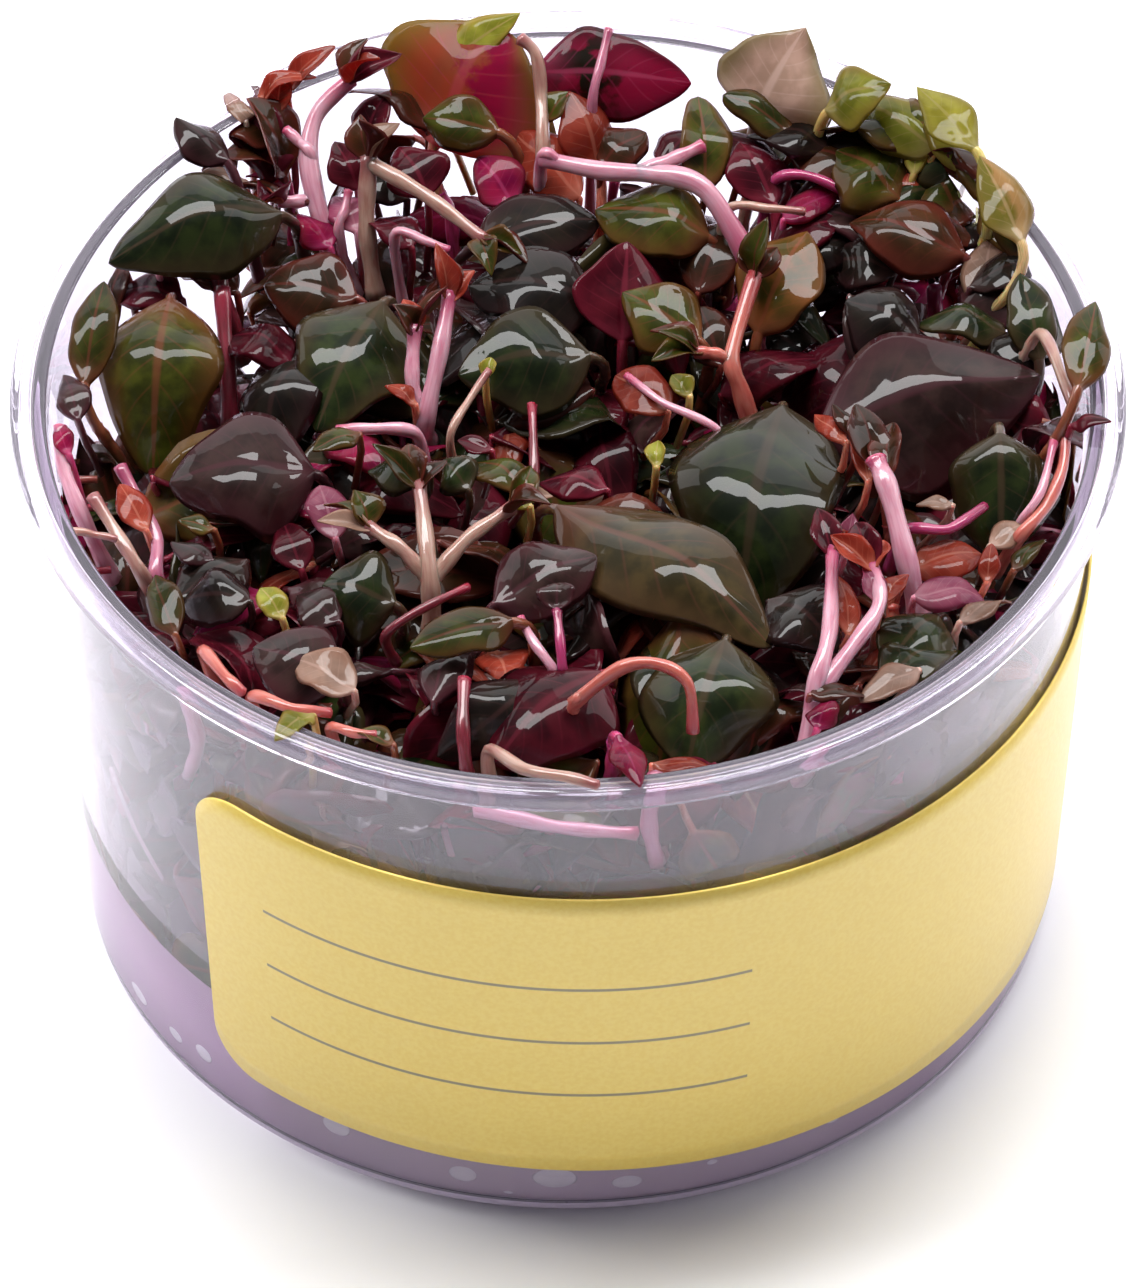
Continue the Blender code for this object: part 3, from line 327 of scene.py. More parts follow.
# Small leaves of the upper layer, one by one: base and tip as they are seen on the leafy top,
# each with its real height, then width, tone, arch, turn and droop.
SMALL_LEAVES = (
    ((-27, 36, 58), (-33, 41, 61.5), 7, "brown", 1.2, 10, 0.1),
    ((-25.5, 34.5, 57), (-30.5, 37.5, 60), 7, "maroon", 1.0, -10, 0.2),
    ((-31, 31.5, 57), (-34.5, 35.5, 59), 5, "brown", 0.8, 0, 0.2),
    ((-23.5, 9, 53.5), (-29.5, -2, 53), 8.5, "dark", 1.6, 0, 0.3),
    ((32.5, 36, 60), (24, 42, 62.5), 6.5, "olive", 1.0, 10, 0.2),
    ((34, 35, 61), (27, 42.5, 63), 6, "lime", 0.8, -20, 0.3),
    ((29, 38, 60.5), (35, 38.5, 62.5), 5, "olive", 0.6, 20, 0.2),
    ((41, 29, 60), (35, 37, 62), 6, "brown", 0.8, 30, 0.2),
    ((39, 28, 58), (42, 22, 59), 5, "olive", 0.6, 0, 0.3),
    ((28, 27, 56.5), (35, 31, 58.5), 6, "green", 0.8, 0, 0.2),
    ((24, 35, 59), (18.5, 40.5, 62), 6, "dark", 0.8, 0, 0.2),
    ((29, 23.5, 55), (23, 28.5, 57), 5, "purple", 0.8, 0, 0.2),
    ((19, 22, 55), (25, 26.5, 57), 6, "maroon", 0.8, 0, 0.2),
    ((38, 6, 55), (44, 11, 57.5), 6, "dark", 0.8, 0, 0.2),
    ((31.5, 30.5, 57), (24, 38.5, 60), 8, "dark", 1.4, 0, 0.3),
    ((38, 31, 58), (30.5, 39.5, 61), 7.5, "green", 1.2, -10, 0.2),
    ((38, 32, 60), (32.5, 41.5, 63), 5, "lime", 0.8, 20, 0.2),
    ((42.5, 26, 59), (36, 35, 61.5), 5.5, "olive", 0.8, 10, 0.2),
    ((38.5, 23, 56), (30, 28.5, 57), 7, "brown", 1.2, 0, 0.3),
    ((44.8, 9, 57), (42.3, 21, 59.5), 5, "green", 0.8, 10, 0.2),
    ((42, 13, 56), (35, 21.5, 57.5), 7, "purple", 1.2, 0, 0.2),
    ((33, 23, 55), (41, 28, 58), 6, "dark", 1.0, 0, 0.2),
    ((27.5, 32, 58), (20.5, 36.5, 59.5), 6.5, "brown", 0.8, 0, 0.2),
    ((20.5, 30, 56.5), (14.5, 38.5, 60), 5.5, "maroon", 0.8, 10, 0.1),
    ((21, 37, 60), (14.5, 42.5, 63), 4, "olive", 0.6, 0, 0.2),
    ((-32, 17, 56.5), (-34, 23, 59), 5, "maroon", 0.6, 0, -0.2),
    ((-37.5, 19, 57.5), (-34.5, 22.5, 58.5), 3, "rose", 0.4, 0, 0.1),
    ((-27, 33, 57), (-33, 37, 61), 5, "brown", 0.8, 10, -0.4),
    ((-28, 35, 58), (-30, 42, 62), 5, "maroon", 0.8, -20, -0.5),
    ((-30, 39, 61), (-31.5, 42.8, 62), 2, "tan", 0.3, 0, 0.2),
    ((-27, 40, 61), (-26.5, 45.5, 64), 2.4, "salmon", 0.4, 0, -0.4),
    ((-26, 43, 62), (-22.8, 49, 66), 2.2, "salmon", 0.6, 20, -0.4),
    ((-28.5, 41.5, 62), (-25, 46.5, 65), 1.8, "salmon", 0.6, 0, -0.3),
    ((-26, 31, 55), (-29.5, 33, 57), 3, "magenta", 0.4, 0, 0.1),
    ((-30, 31, 58), (-33.5, 32.5, 60), 2.5, "tan", 0.3, 0, 0.1),
    ((-41, 20, 57), (-42.5, 13, 55), 3, "brown", 0.5, 20, 0.2),
    ((-15, 29, 54), (-20, 34, 57), 6, "dark", 1.0, 0, 0.2),
    ((-19, 36, 58), (-17, 43, 62), 4, "maroon", 0.6, 0, -0.3),
    ((-13, 38, 58), (-18.5, 46.5, 62), 6, "brown", 0.8, 30, 0.2),
    ((-12, 46, 62), (-4.5, 53, 66), 4, "lime", 0.6, 30, 0.2),
    ((-2, 39, 60), (0, 43, 62), 3, "olive", 0.4, 0, -0.4),
    ((-5, 28, 56), (-8.5, 34.5, 58.5), 5, "magenta", 0.6, 0, 0.1),
    ((1, 29, 56), (-5, 37.5, 60), 6, "salmon", 0.8, 0, 0.1),
    ((12, 16.5, 54), (14.5, 26, 57), 6, "brown", 0.8, 0, 0.2),
    ((17, 38, 58), (14, 33, 57), 4, "olive", 0.5, 0, 0.2),
    ((12.7, 30, 58), (12.3, 43, 63), 5, "olive", 0.8, 10, -0.2),
    ((32, 32, 59), (32.5, 38, 62), 2.4, "lime", 0.3, 0, 0.1),
    ((36, 27, 57), (33, 34, 59), 6, "olive", 0.8, 0, 0.2),
    ((42, 20, 58), (40, 31, 62), 4, "olive", 0.8, -20, -0.3),
    ((38, 13, 55), (39, 25, 58), 4.5, "tan", 0.6, 0, 0.1),
    ((31, 28, 57), (31.5, 33, 59), 2.5, "salmon", 0.4, 0, -0.2),
    ((20, 26, 57), (25, 30, 58), 3.5, "magenta", 0.5, 0, 0.1),
    ((18, 12, 53), (22, 17, 55), 4, "rose", 0.4, 0, 0.1),
    ((17.5, 19.5, 55), (21, 13, 54), 3, "magenta", 0.4, 0, 0.1),
    ((14, 7, 53), (12, 15, 55), 5, "brown", 0.6, 0, 0.2),
    ((40, 11, 56), (33, 15.5, 58), 6.5, "green", 1.2, -10, 0.3),
    ((45.5, -1, 61), (48, 1, 63.5), 2.5, "maroon", 0.3, 0, 0.2),
    ((37, 17, 57), (43, 21, 59), 5, "dark", 0.8, 0, 0.2),
    ((30, 19, 55), (24, 22, 56), 6, "dark", 1.0, 0, 0.2),
    ((-45, -4.5, 60), (-46.3, -0.5, 61.5), 2, "magenta", 0.3, 0, 0.1),
    ((-19, -2, 57), (-23, -3.5, 58), 3, "olive", 0.4, 0, 0.1),
    ((-21, -15, 54), (-22.5, -8, 56), 4, "rose", 0.5, 0, -0.2),
    ((-24, -19, 53), (-26, -12, 55), 4, "maroon", 0.5, 0, 0.1),
    ((-32, -14, 55), (-35, -12.5, 56), 2.5, "olive", 0.3, 0, 0.1),
    ((-32, -18, 55), (-35.5, -15, 56), 4, "purple", 0.5, 0, 0.1),
    ((-29, -18, 54), (-35, -22, 55), 7, "dark", 1.0, 0, 0.2),
    ((-14, 2, 54), (-16, 5, 56), 2, "salmon", 0.3, 0, 0.1),
    ((-12.5, -7, 57), (-18, -5, 57.5), 6.5, "green", 1.4, -10, 0.4),
    ((-9, -9, 56.5), (-11.5, -5, 57.5), 4, "green", 0.8, -10, 0.4),
    ((-7, -4, 56), (-10, -2.5, 56.5), 2.5, "maroon", 0.3, 0, 0.1),
    ((-4, -9.5, 56), (-8, -3.5, 57), 5, "olive", 1.0, 0, 0.3),
    ((-3.5, -11, 56.5), (-5, -9.5, 57), 1.8, "lime", 0.2, 0, 0.1),
    ((9, 1, 56), (4, 6, 56.5), 5, "salmon", 0.6, 0, 0.1),
    ((11, 3, 57), (9.5, 6, 58), 2.2, "lime", 0.2, 0, -0.5),
    ((8, -6, 55), (8, -2.5, 56), 2, "lime", 0.2, 0, -0.5),
    ((3.5, -9, 55), (-2.5, -6, 55.5), 5, "maroon", 0.6, 0, 0.1),
    ((-7.5, 5.5, 57), (-7, 8, 58), 1.6, "lime", 0.2, 0, -0.5),
    ((25, -3, 61), (21.5, 1.5, 61.5), 2.2, "salmon", 0.3, 0, 0.1),
    ((26, -2.5, 61), (24, 2, 62.5), 2, "brown", 0.3, 0, 0.1),
    ((28.5, -8, 60.5), (28.8, 0.5, 62), 3, "brown", 0.5, 0, -0.4),
    ((27, -8, 60), (26, -1, 61), 2.5, "salmon", 0.4, 0, -0.3),
    ((34.5, -11, 57), (31.5, -10, 57.5), 2, "tan", 0.2, 0, 0.1),
    ((31, -22.5, 57), (37, -21, 57.5), 4, "rose", 0.5, 0, 0.1),
    ((37.5, -20.5, 57), (37.8, -15.5, 59), 2, "salmon", 0.3, 0, -0.3),
    ((38, -16, 56), (41, -13, 57), 3, "tan", 0.3, 0, 0.1),
    ((40, -19, 56), (42.3, -14.5, 57.5), 2.5, "olive", 0.3, 0, 0.1),
    ((-35, -27, 57), (-37.5, -19, 58), 3.5, "olive", 0.4, 0, 0.1),
    ((-28.5, -23, 56.5), (-34.5, -21, 57), 6, "dark", 0.8, -14, 0.2),
    ((-25.5, -25, 57), (-27.5, -21, 58), 3, "lime", 0.4, 0, -0.4),
    ((-20.5, -25.5, 56), (-24.5, -21.5, 57), 5, "purple", 0.6, 0, 0.1),
    ((-19, -34, 57), (-24, -29.5, 58.5), 5, "tan", 0.4, 0, 0.1),
    ((-15.5, -40.5, 57), (-19, -38.5, 58), 3, "olive", 0.4, 0, -0.3),
    ((-22.5, -37, 60), (-25.4, -38.2, 62.8), 3, "lime", 0.3, 0, 0.1),
    ((-38, -14, 56), (-40.5, -8, 58), 3, "salmon", 0.4, 0, 0.1),
    ((-1, -24, 59), (-1, -20.5, 60), 3.5, "purple", 0.4, 0, -0.4),
    ((-3, -33, 55.5), (-9, -41, 55.5), 7, "dark", 1.2, -14, 0.3),
    ((7.5, -43, 57), (12.5, -42.5, 58), 2, "salmon", 0.3, 0, 0.1),
    ((27.5, -23, 60), (26.5, -18.5, 61.5), 2.5, "rose", 0.4, 0, -0.4),
    ((28, -23, 60), (30, -19, 61), 2.5, "salmon", 0.4, 0, -0.4),
    ((35, -25.5, 57), (39, -21.5, 58), 3.5, "tan", 0.4, 0, 0.1),
    ((31, -31.5, 57.5), (26, -34.5, 58), 3.5, "tan", 0.4, 0, 0.1),
    ((18, -23, 55), (24, -28, 55.5), 9, "dark", 1.6, 0, 0.2),
    ((25, -16, 58), (25.5, -12, 60), 2, "rose", 0.3, 0, 0.1),
    ((25, -27, 57), (24.8, -19, 59.5), 2.5, "salmon", 0.4, 0, -0.3),
    ((21.5, -34.5, 58), (26, -33, 58.5), 2.5, "brown", 0.3, 0, 0.1),
    ((22, -38.5, 57), (23, -34.5, 58.5), 3, "magenta", 0.3, 0, 0.1),
    ((28, -33, 56), (34, -27, 57), 6, "green", 0.8, 0, 0.2),
    ((33.5, 25, 56), (38.5, 30.5, 58), 5.5, "brown", 0.8, 0, 0.1),
    ((21, 20.5, 54.5), (26.5, 24.5, 56.5), 5.5, "dark", 0.8, 0, 0.2),
    ((-35.5, 15.5, 56), (-41.5, 18.5, 57), 5, "maroon", 0.6, 0, 0.1),
    ((-30.5, 16.5, 56), (-35, 20.5, 57), 5.5, "brown", 0.8, 0, 0.1),
    ((-25.5, 7.5, 54), (-30, 12.5, 56), 6.5, "maroon", 1.0, 0, 0.2),
    ((-44.5, 0, 57), (-45.8, 7, 58.5), 3.5, "purple", 0.5, 0, 0.1),
    ((-22, 22.5, 55), (-24.5, 27.5, 57), 4.5, "magenta", 0.6, 0, 0.1),
    ((-19.5, 24.5, 55.5), (-21, 30.5, 57.5), 4, "rose", 0.6, 0, 0.1),
    ((-19.5, 30, 57), (-21.5, 36.5, 60), 4.5, "maroon", 0.6, 0, 0.0),
    ((-13, 29, 57), (-15.5, 36, 60), 6, "maroon", 0.8, 0, 0.0),
    ((-14.5, 22.5, 55), (-17.5, 28, 57), 5.5, "maroon", 0.8, 0, 0.1),
    ((3, 33, 57.5), (7, 38, 60), 5, "brown", 0.7, 0, 0.0),
    ((9, 33, 58), (11, 39, 60.5), 4.5, "maroon", 0.6, 0, 0.0),
)

# Fine stalks of the upper layer: radius, tone, and the places that each runs through as seen.
FINE_STALKS = (
    (1.0, "maroon", ((-31.6, 15.5, 56), (-31.9, 18.5, 57.3), (-30.5, 22.5, 58))),
    (0.9, "pink", ((-45.8, -1, 60.5), (-45.5, -6, 59), (-43.5, -13, 56))),
    (0.8, "tan", ((-42.8, -9.7, 58), (-40.3, -15, 56.5), (-38.5, -19, 55))),
    (0.5, "tan", ((-45, -15, 57.5), (-42.5, -14.6, 57.8), (-40.5, -15.2, 57.5))),
    (0.8, "rose", ((-40.5, -6, 57), (-38.5, -11, 55.5), (-37, -15.5, 54.5), (-37, -20, 53.5))),
    (0.7, "pink", ((-21, -1.4, 56.5), (-17.5, -1.2, 56.8), (-13.8, -1.8, 55.5))),
    (0.5, "tan", ((-10.7, -2.2, 56), (-9.2, 2, 57), (-7.2, 6.3, 57.8))),
    (0.6, "maroon", ((-3.3, 2, 54), (-3, -8, 52))),
    (0.5, "pink", ((5.3, 5.7, 57), (8.8, 2, 57), (13.7, -1.5, 56))),
    (0.7, "magenta", ((30.5, -14, 57), (34, -14, 57.8), (37.5, -11, 57.5))),
    (0.8, "salmon", ((45, -0.7, 59.5), (44.6, -6, 58.5), (43, -11, 57.5), (40.6, -14.8, 56.5))),
    (0.6, "pink", ((43.8, -3, 59.5), (42.6, -9, 58.5), (41, -12.5, 57))),
    (0.7, "salmon", ((-32.5, -29, 57.5), (-30.4, -32, 59), (-28.7, -34.2, 58.5))),
    (0.7, "salmon", ((-28, -34.6, 58), (-24.5, -36, 59.3), (-21, -36.6, 58))),
    (0.6, "salmon", ((-21, -38.4, 57), (-19, -39, 58), (-17, -39.3, 57.5))),
    (0.6, "maroon", ((-16.2, -27, 56), (-12.5, -23.5, 57.8), (-9, -21.2, 57))),
    (0.6, "magenta", ((-1, -24, 59), (-0.7, -28, 58), (-0.5, -31.7, 56))),
    (0.6, "pink", ((-4.3, -25, 58), (-2.8, -28.5, 57.5), (-1.2, -31.7, 56))),
    (0.8, "maroon", ((-9.2, -32.5, 58), (-9.3, -38, 57), (-9, -43.5, 54))),
    (0.7, "tan", ((-7, -41, 59.5), (-4, -43.2, 62.4), (0, -44.2, 63.1), (2.6, -45.2, 63.1))),
    (0.6, "pink", ((-16, 24, 57), (-13.5, 23.4, 57.6), (-11, 22, 57))),
    (0.6, "tan", ((14.6, 27, 58.5), (18, 27.4, 59.3), (21.8, 27, 58.5))),
    (0.7, "magenta", ((19, 31, 58), (22.5, 31.6, 59), (25.8, 29.4, 58))),
    (0.7, "tan", ((43, 11, 59.5), (44.6, 6, 60.5), (45.8, 1, 60))),
    (0.8, "tan", ((-2.3, 34, 58.5), (-2.5, 42, 61.5), (-3, 47.6, 64.5), (-4.5, 49.6, 65.5))),
    (0.6, "rose", ((2.2, 40.5, 61), (3, 46, 64), (3.8, 50.8, 65.6))),
    (0.7, "pink", ((-23.6, 33.5, 59), (-24.8, 36, 60.3), (-26.2, 37.8, 61))),
    (0.6, "pink", ((-21.2, 24.5, 55.5), (-20.7, 27, 57), (-20.3, 29.8, 58))),
)

# Stalks close behind the wall, at their real places
WALL_STALKS = (
    (0.9, "rose", ((7.6, -45.8, 59.5), (7.0, -45.4, 54), (7.8, -44.8, 48))),
    (0.7, "pink", ((-8, -45.2, 55.5), (-1, -46, 54), (6, -45.4, 52.5))),
    (0.8, "rose", ((-33.5, -31.5, 56), (-32.5, -32, 50), (-33.5, -30.5, 44))),
    (0.9, "pale", ((-13.4, -42.6, 9), (-13.3, -42.4, 6), (-13.2, -42.2, 3.8))),
    (0.8, "magenta", ((-41.5, -20, 33), (-39.5, -23.5, 29), (-37, -27, 26))),
)

# The colours of each kind of leaf, as sRGB hex: two for the blade, the veins, the margin and the
# underside. Then the share of its light that comes through the blade, and which way the blade's two
# colours part, where they do.
LeafTone = namedtuple("LeafTone", "first second vein margin under glow split", defaults=(None,))

LEAF_TONES = {
    "dark": LeafTone("#150e0b", "#231a12", "#3c2422", "#301619", "#4a1724", 0.1),
    "green": LeafTone("#131c0a", "#2a3413", "#4a3828", "#40301c", "#50202a", 0.13),
    "olive": LeafTone("#33370d", "#4f5217", "#80442f", "#6c4220", "#783a2c", 0.3),
    "lime": LeafTone("#85862a", "#adac42", "#c4ac6c", "#a88a3c", "#a09844", 0.4),
    "brown": LeafTone("#33200f", "#4a2a16", "#6c2e26", "#6a2820", "#74282a", 0.22),
    "purple": LeafTone("#2a1a18", "#3f2a27", "#502830", "#441820", "#5c1a30", 0.12),
    "maroon": LeafTone("#3e0816", "#601222", "#84263a", "#6c1226", "#8e1a3e", 0.35),
    "magenta": LeafTone("#8c1048", "#b01c50", "#c84a80", "#8c2c3c", "#b0286a", 0.5),
    "salmon": LeafTone("#a03c2c", "#c05844", "#dc8c74", "#a83c2a", "#b8564c", 0.45),
    "tan": LeafTone("#987a6a", "#b49280", "#c8a698", "#a0745e", "#ac8474", 0.35),
    "rose": LeafTone("#a85272", "#c4748c", "#dc9cac", "#a03e60", "#b86280", 0.4),
}

# Leaves whose colour changes over the blade, or lies between two kinds
OWN_TONES = {
    "back_big": LeafTone("#a8583a", "#a01848", "#c06068", "#8a8034", "#b03058", 0.6, "across"),
    "back_magenta": LeafTone("#241d10", "#9c1644", "#c05078", "#5c1428", "#8c1c48", 0.55, "along"),
    "back_tan": LeafTone("#b09280", "#c8a898", "#dcc0b4", "#7c7040", "#b89484", 0.35),
    "front_diagonal": LeafTone("#2a2410", "#42351a", "#5c3428", "#4a3420", "#5a2c28", 0.12),
    "right_cream": LeafTone("#8c8434", "#c8a068", "#dcc090", "#9c8438", "#b89860", 0.4, "across"),
    "rim_yellow": LeafTone("#a49c30", "#c4bc4c", "#ccc078", "#a09038", "#b0a848", 0.45),
    "right_orange": LeafTone("#4a4014", "#7c4a1c", "#8c4a30", "#7a4824", "#84402c", 0.3),
}

# The colours of each kind of stem: the flesh, its streaks and its joints.
STEM_TONES = {
    "pink": ("#c898a6", "#b47488", "#a02c58"),
    "tan": ("#a8887a", "#946a5c", "#844448"),
    "salmon": ("#b8685a", "#a85048", "#983840"),
    "maroon": ("#64202a", "#7a2434", "#8c2038"),
    "magenta": ("#982c5c", "#a83c6c", "#7c1440"),
    "rose": ("#b47488", "#a05874", "#88284e"),
    "pale": ("#e4dade", "#ccbcc8", "#c498ac"),
}

# The leafy top of the lower shoots: where its falls and rises start, and by how much for each
# millimetre from there
LEAFY_TOP = 55.0
BACK_START, BACK_FALL = 8.0, 0.14
LEFT_START, LEFT_FALL = 24.0, 0.15
RIGHT_CORNER_START, RIGHT_CORNER_RISE = 34.0, 0.26
LEFT_CORNER_START, LEFT_CORNER_RISE = 46.0, 0.12
HOLLOW_DEPTH = 5.0
HOLLOW_MIDDLE = (1.0, 2.0)
HOLLOW_SPREAD = 60.0           # square millimetres

# The crowd: kink and taper of its leaves, and their places in staggered rows
SMALL_KINK = 1.3
SMALL_TAPER = (0.5, 0.85)
ROW_PITCH = 0.87               # distance between rows, as a share of the spacing
CANOPY_ROWS, CANOPY_SPACING, CANOPY_JITTER = 11, 4.9, 1.6
CANOPY_REACH = 45.0
CANOPY_CORNER_REACH = 46.5     # at the right of the back
CANOPY_LENGTHS = (9.0, 18.0)
CANOPY_LAYERS = (0.0, 1.6, 3.2, 5.0, 7.0)    # a leaf without room is tried this much lower
SHOOT_ROWS, SHOOT_SPACING, SHOOT_JITTER = 6, 8.6, 2.6
SHOOT_REACH = 43.5
SHOOT_LENGTHS = (8.0, 14.0)
SHOOT_TOP_LENGTHS = (5.0, 10.0)
SHOOT_TOP_LEAVES = 5
NEAR_WALL = 30.0
WALL_LEVELS, WALL_LOW, WALL_PITCH = 6, 13.0, 7.2
WALL_STEPS = 26
WALL_LENGTHS = (8.0, 15.0)
WALL_LOWEST = 5.5
TUFT_LEAVES = 3
TUFT_LENGTHS = (3.5, 6.0)
ROOTS = 110
ROOT_STOPS = 4


def mixed(**counts):
    """A list of tones, each as often as its count says."""
    return [tone for tone, count in counts.items() for _ in range(count)]


CANOPY_TONES = mixed(dark=4, green=5, purple=3, brown=6, maroon=8, olive=4, magenta=1)
SHOOT_TONES = mixed(dark=2, green=2, purple=3, brown=3, maroon=6, olive=1, magenta=2, salmon=1)
WALL_TONES = ("dark", "green", "purple", "brown", "maroon", "olive", "tan", "rose", "olive", "green")
SHOOT_STEM_TONES = ("pink", "rose", "maroon", "salmon", "magenta", "tan")
ROOT_TONES = ("pink", "rose", "pale", "pale", "magenta")

# A leaf of the lower shoots hides upper ones where lines of sight from this share of its points
# meet them within this reach.
SIGHT_LINE = Vector((0.0, 0.69, -0.72))
HIDE_SAMPLES = 24
HIDE_REACH = 14.0
HIDE_SHARE = 0.15

# Places on the leafy top where the photograph looks through to the bright floor: x and y bounds.
OPEN_SPOTS = (
    (4.0, 12.1, 32.2, 42.2), (-12.9, -6.4, 30.3, 34.7), (-1.9, 0.5, 33.9, 37.2), (0.4, 2.7, 29.5, 32.2),
    (-23.6, -20.3, 40.1, 48.4), (-22.7, -22.0, 30.2, 32.6), (-21.1, -19.7, 27.1, 29.8),
    (-20.5, -19.2, 22.9, 25.4), (-36.6, -34.6, 15.0, 20.8), (-36.0, -31.9, 13.2, 15.2),
    (-30.3, -28.3, 6.6, 8.6), (-44.2, -41.7, -1.9, 4.6), (-26.6, -24.4, 27.7, 31.0), (13.6, 15.5, 28.6, 33.3),
)

# The stage, in metres and watts: each soft box's name, place, size and power
FLOOR_SIZE = 6.0
CUP_MIDDLE = Vector((0.0, 0.0, 0.04))
SOFT_BOXES = (
    ("overhead_box", (-0.06, 0.21, 0.92), (1.3, 0.3), 16.5),
    ("left_box", (-1.0, 0.5, 0.45), (0.6, 0.7), 2.6),
    ("right_box", (1.0, 0.4, 0.5), (0.6, 0.7), 3.4),
    ("low_front_box", (0.0, -1.2, 0.16), (1.4, 0.2), 0.7),
    ("backdrop_glow", (0.0, 1.5, 0.9), (2.6, 1.3), 13.0),
)
SURROUND_STRENGTH = (0.12, 0.6)    # in front and behind

CAMERA_ELEVATION = 46.3        # degrees above the floor
CAMERA_DISTANCE = 1.0          # metres
CAMERA_TARGET = Vector((-0.000185, 0.0, 0.0285))
CAMERA_LENS = 301.9            # millimetres, as is the frame's width
CAMERA_FRAME = 36.0


def linear(code):
    """An sRGB hex colour as linear RGBA."""
    parts = [int(code[i:i + 2], 16) / 255.0 for i in (1, 3, 5)]
    return (*[p / 12.92 if p <= 0.04045 else ((p + 0.055) / 1.055) ** 2.4 for p in parts], 1.0)


def add(tree, kind, inputs=None, **settings):
    """Add a shader node with its settings. Each input, named or counted, is set to a value or a hex
    colour, or linked to an output or to a node's first output that is in use."""
    node = tree.nodes.new(kind)
    for key, value in settings.items():
        setattr(node, key, value)
    named = {socket.name: socket for socket in list(node.inputs)[::-1] if socket.enabled}
    for key, value in (inputs or {}).items():
        socket = named[key] if key in named else node.inputs[key]
        if isinstance(value, bpy.types.Node):
            value = next(output for output in value.outputs if output.enabled)
        if isinstance(value, bpy.types.NodeSocket):
            tree.links.new(value, socket)
        else:
            socket.default_value = linear(value) if isinstance(value, str) else value
    return node


def new_material(name):
    """A material without nodes, and its node tree."""
    made = bpy.data.materials.new(name)
    made.use_nodes = True
    made.node_tree.nodes.clear()
    return made, made.node_tree


# Settings of nodes that repeat: a smooth step between two bounds, and a mix of two colours
SMOOTH = {"interpolation_type": "SMOOTHSTEP"}
COLOURS = {"data_type": "RGBA"}

# Sizes of the patterns in the materials, in millimetres. Real skin cells, mould pits and film grain
# are finer than this: they are drawn as coarse as they need to show.
BLOTCH_SIZE = 2.6
CELL_SIZE = 0.35
STEM_PATCH_SIZE = 5.0
SKIN_RELIEF = 0.08
MOULD_FLOW_SIZE = 14.0
GEL_CLOUD_SIZE = 9.0
GEL_PAINTED_GLOW_SPAN = (-42.0, -30.0)     # from here to here, front to back, the painted light at the gel's front fades into its full tint
AIR_FILM_SIZE = 1.5
MATT_PIT_SIZE = 0.4
FILM_GRAIN_SIZE = 0.5
RULE_HALF_WIDTH = (0.22, 0.14)
RULE_END_FADE = 0.1
FLOOR_GRAIN_SIZE = 25.0


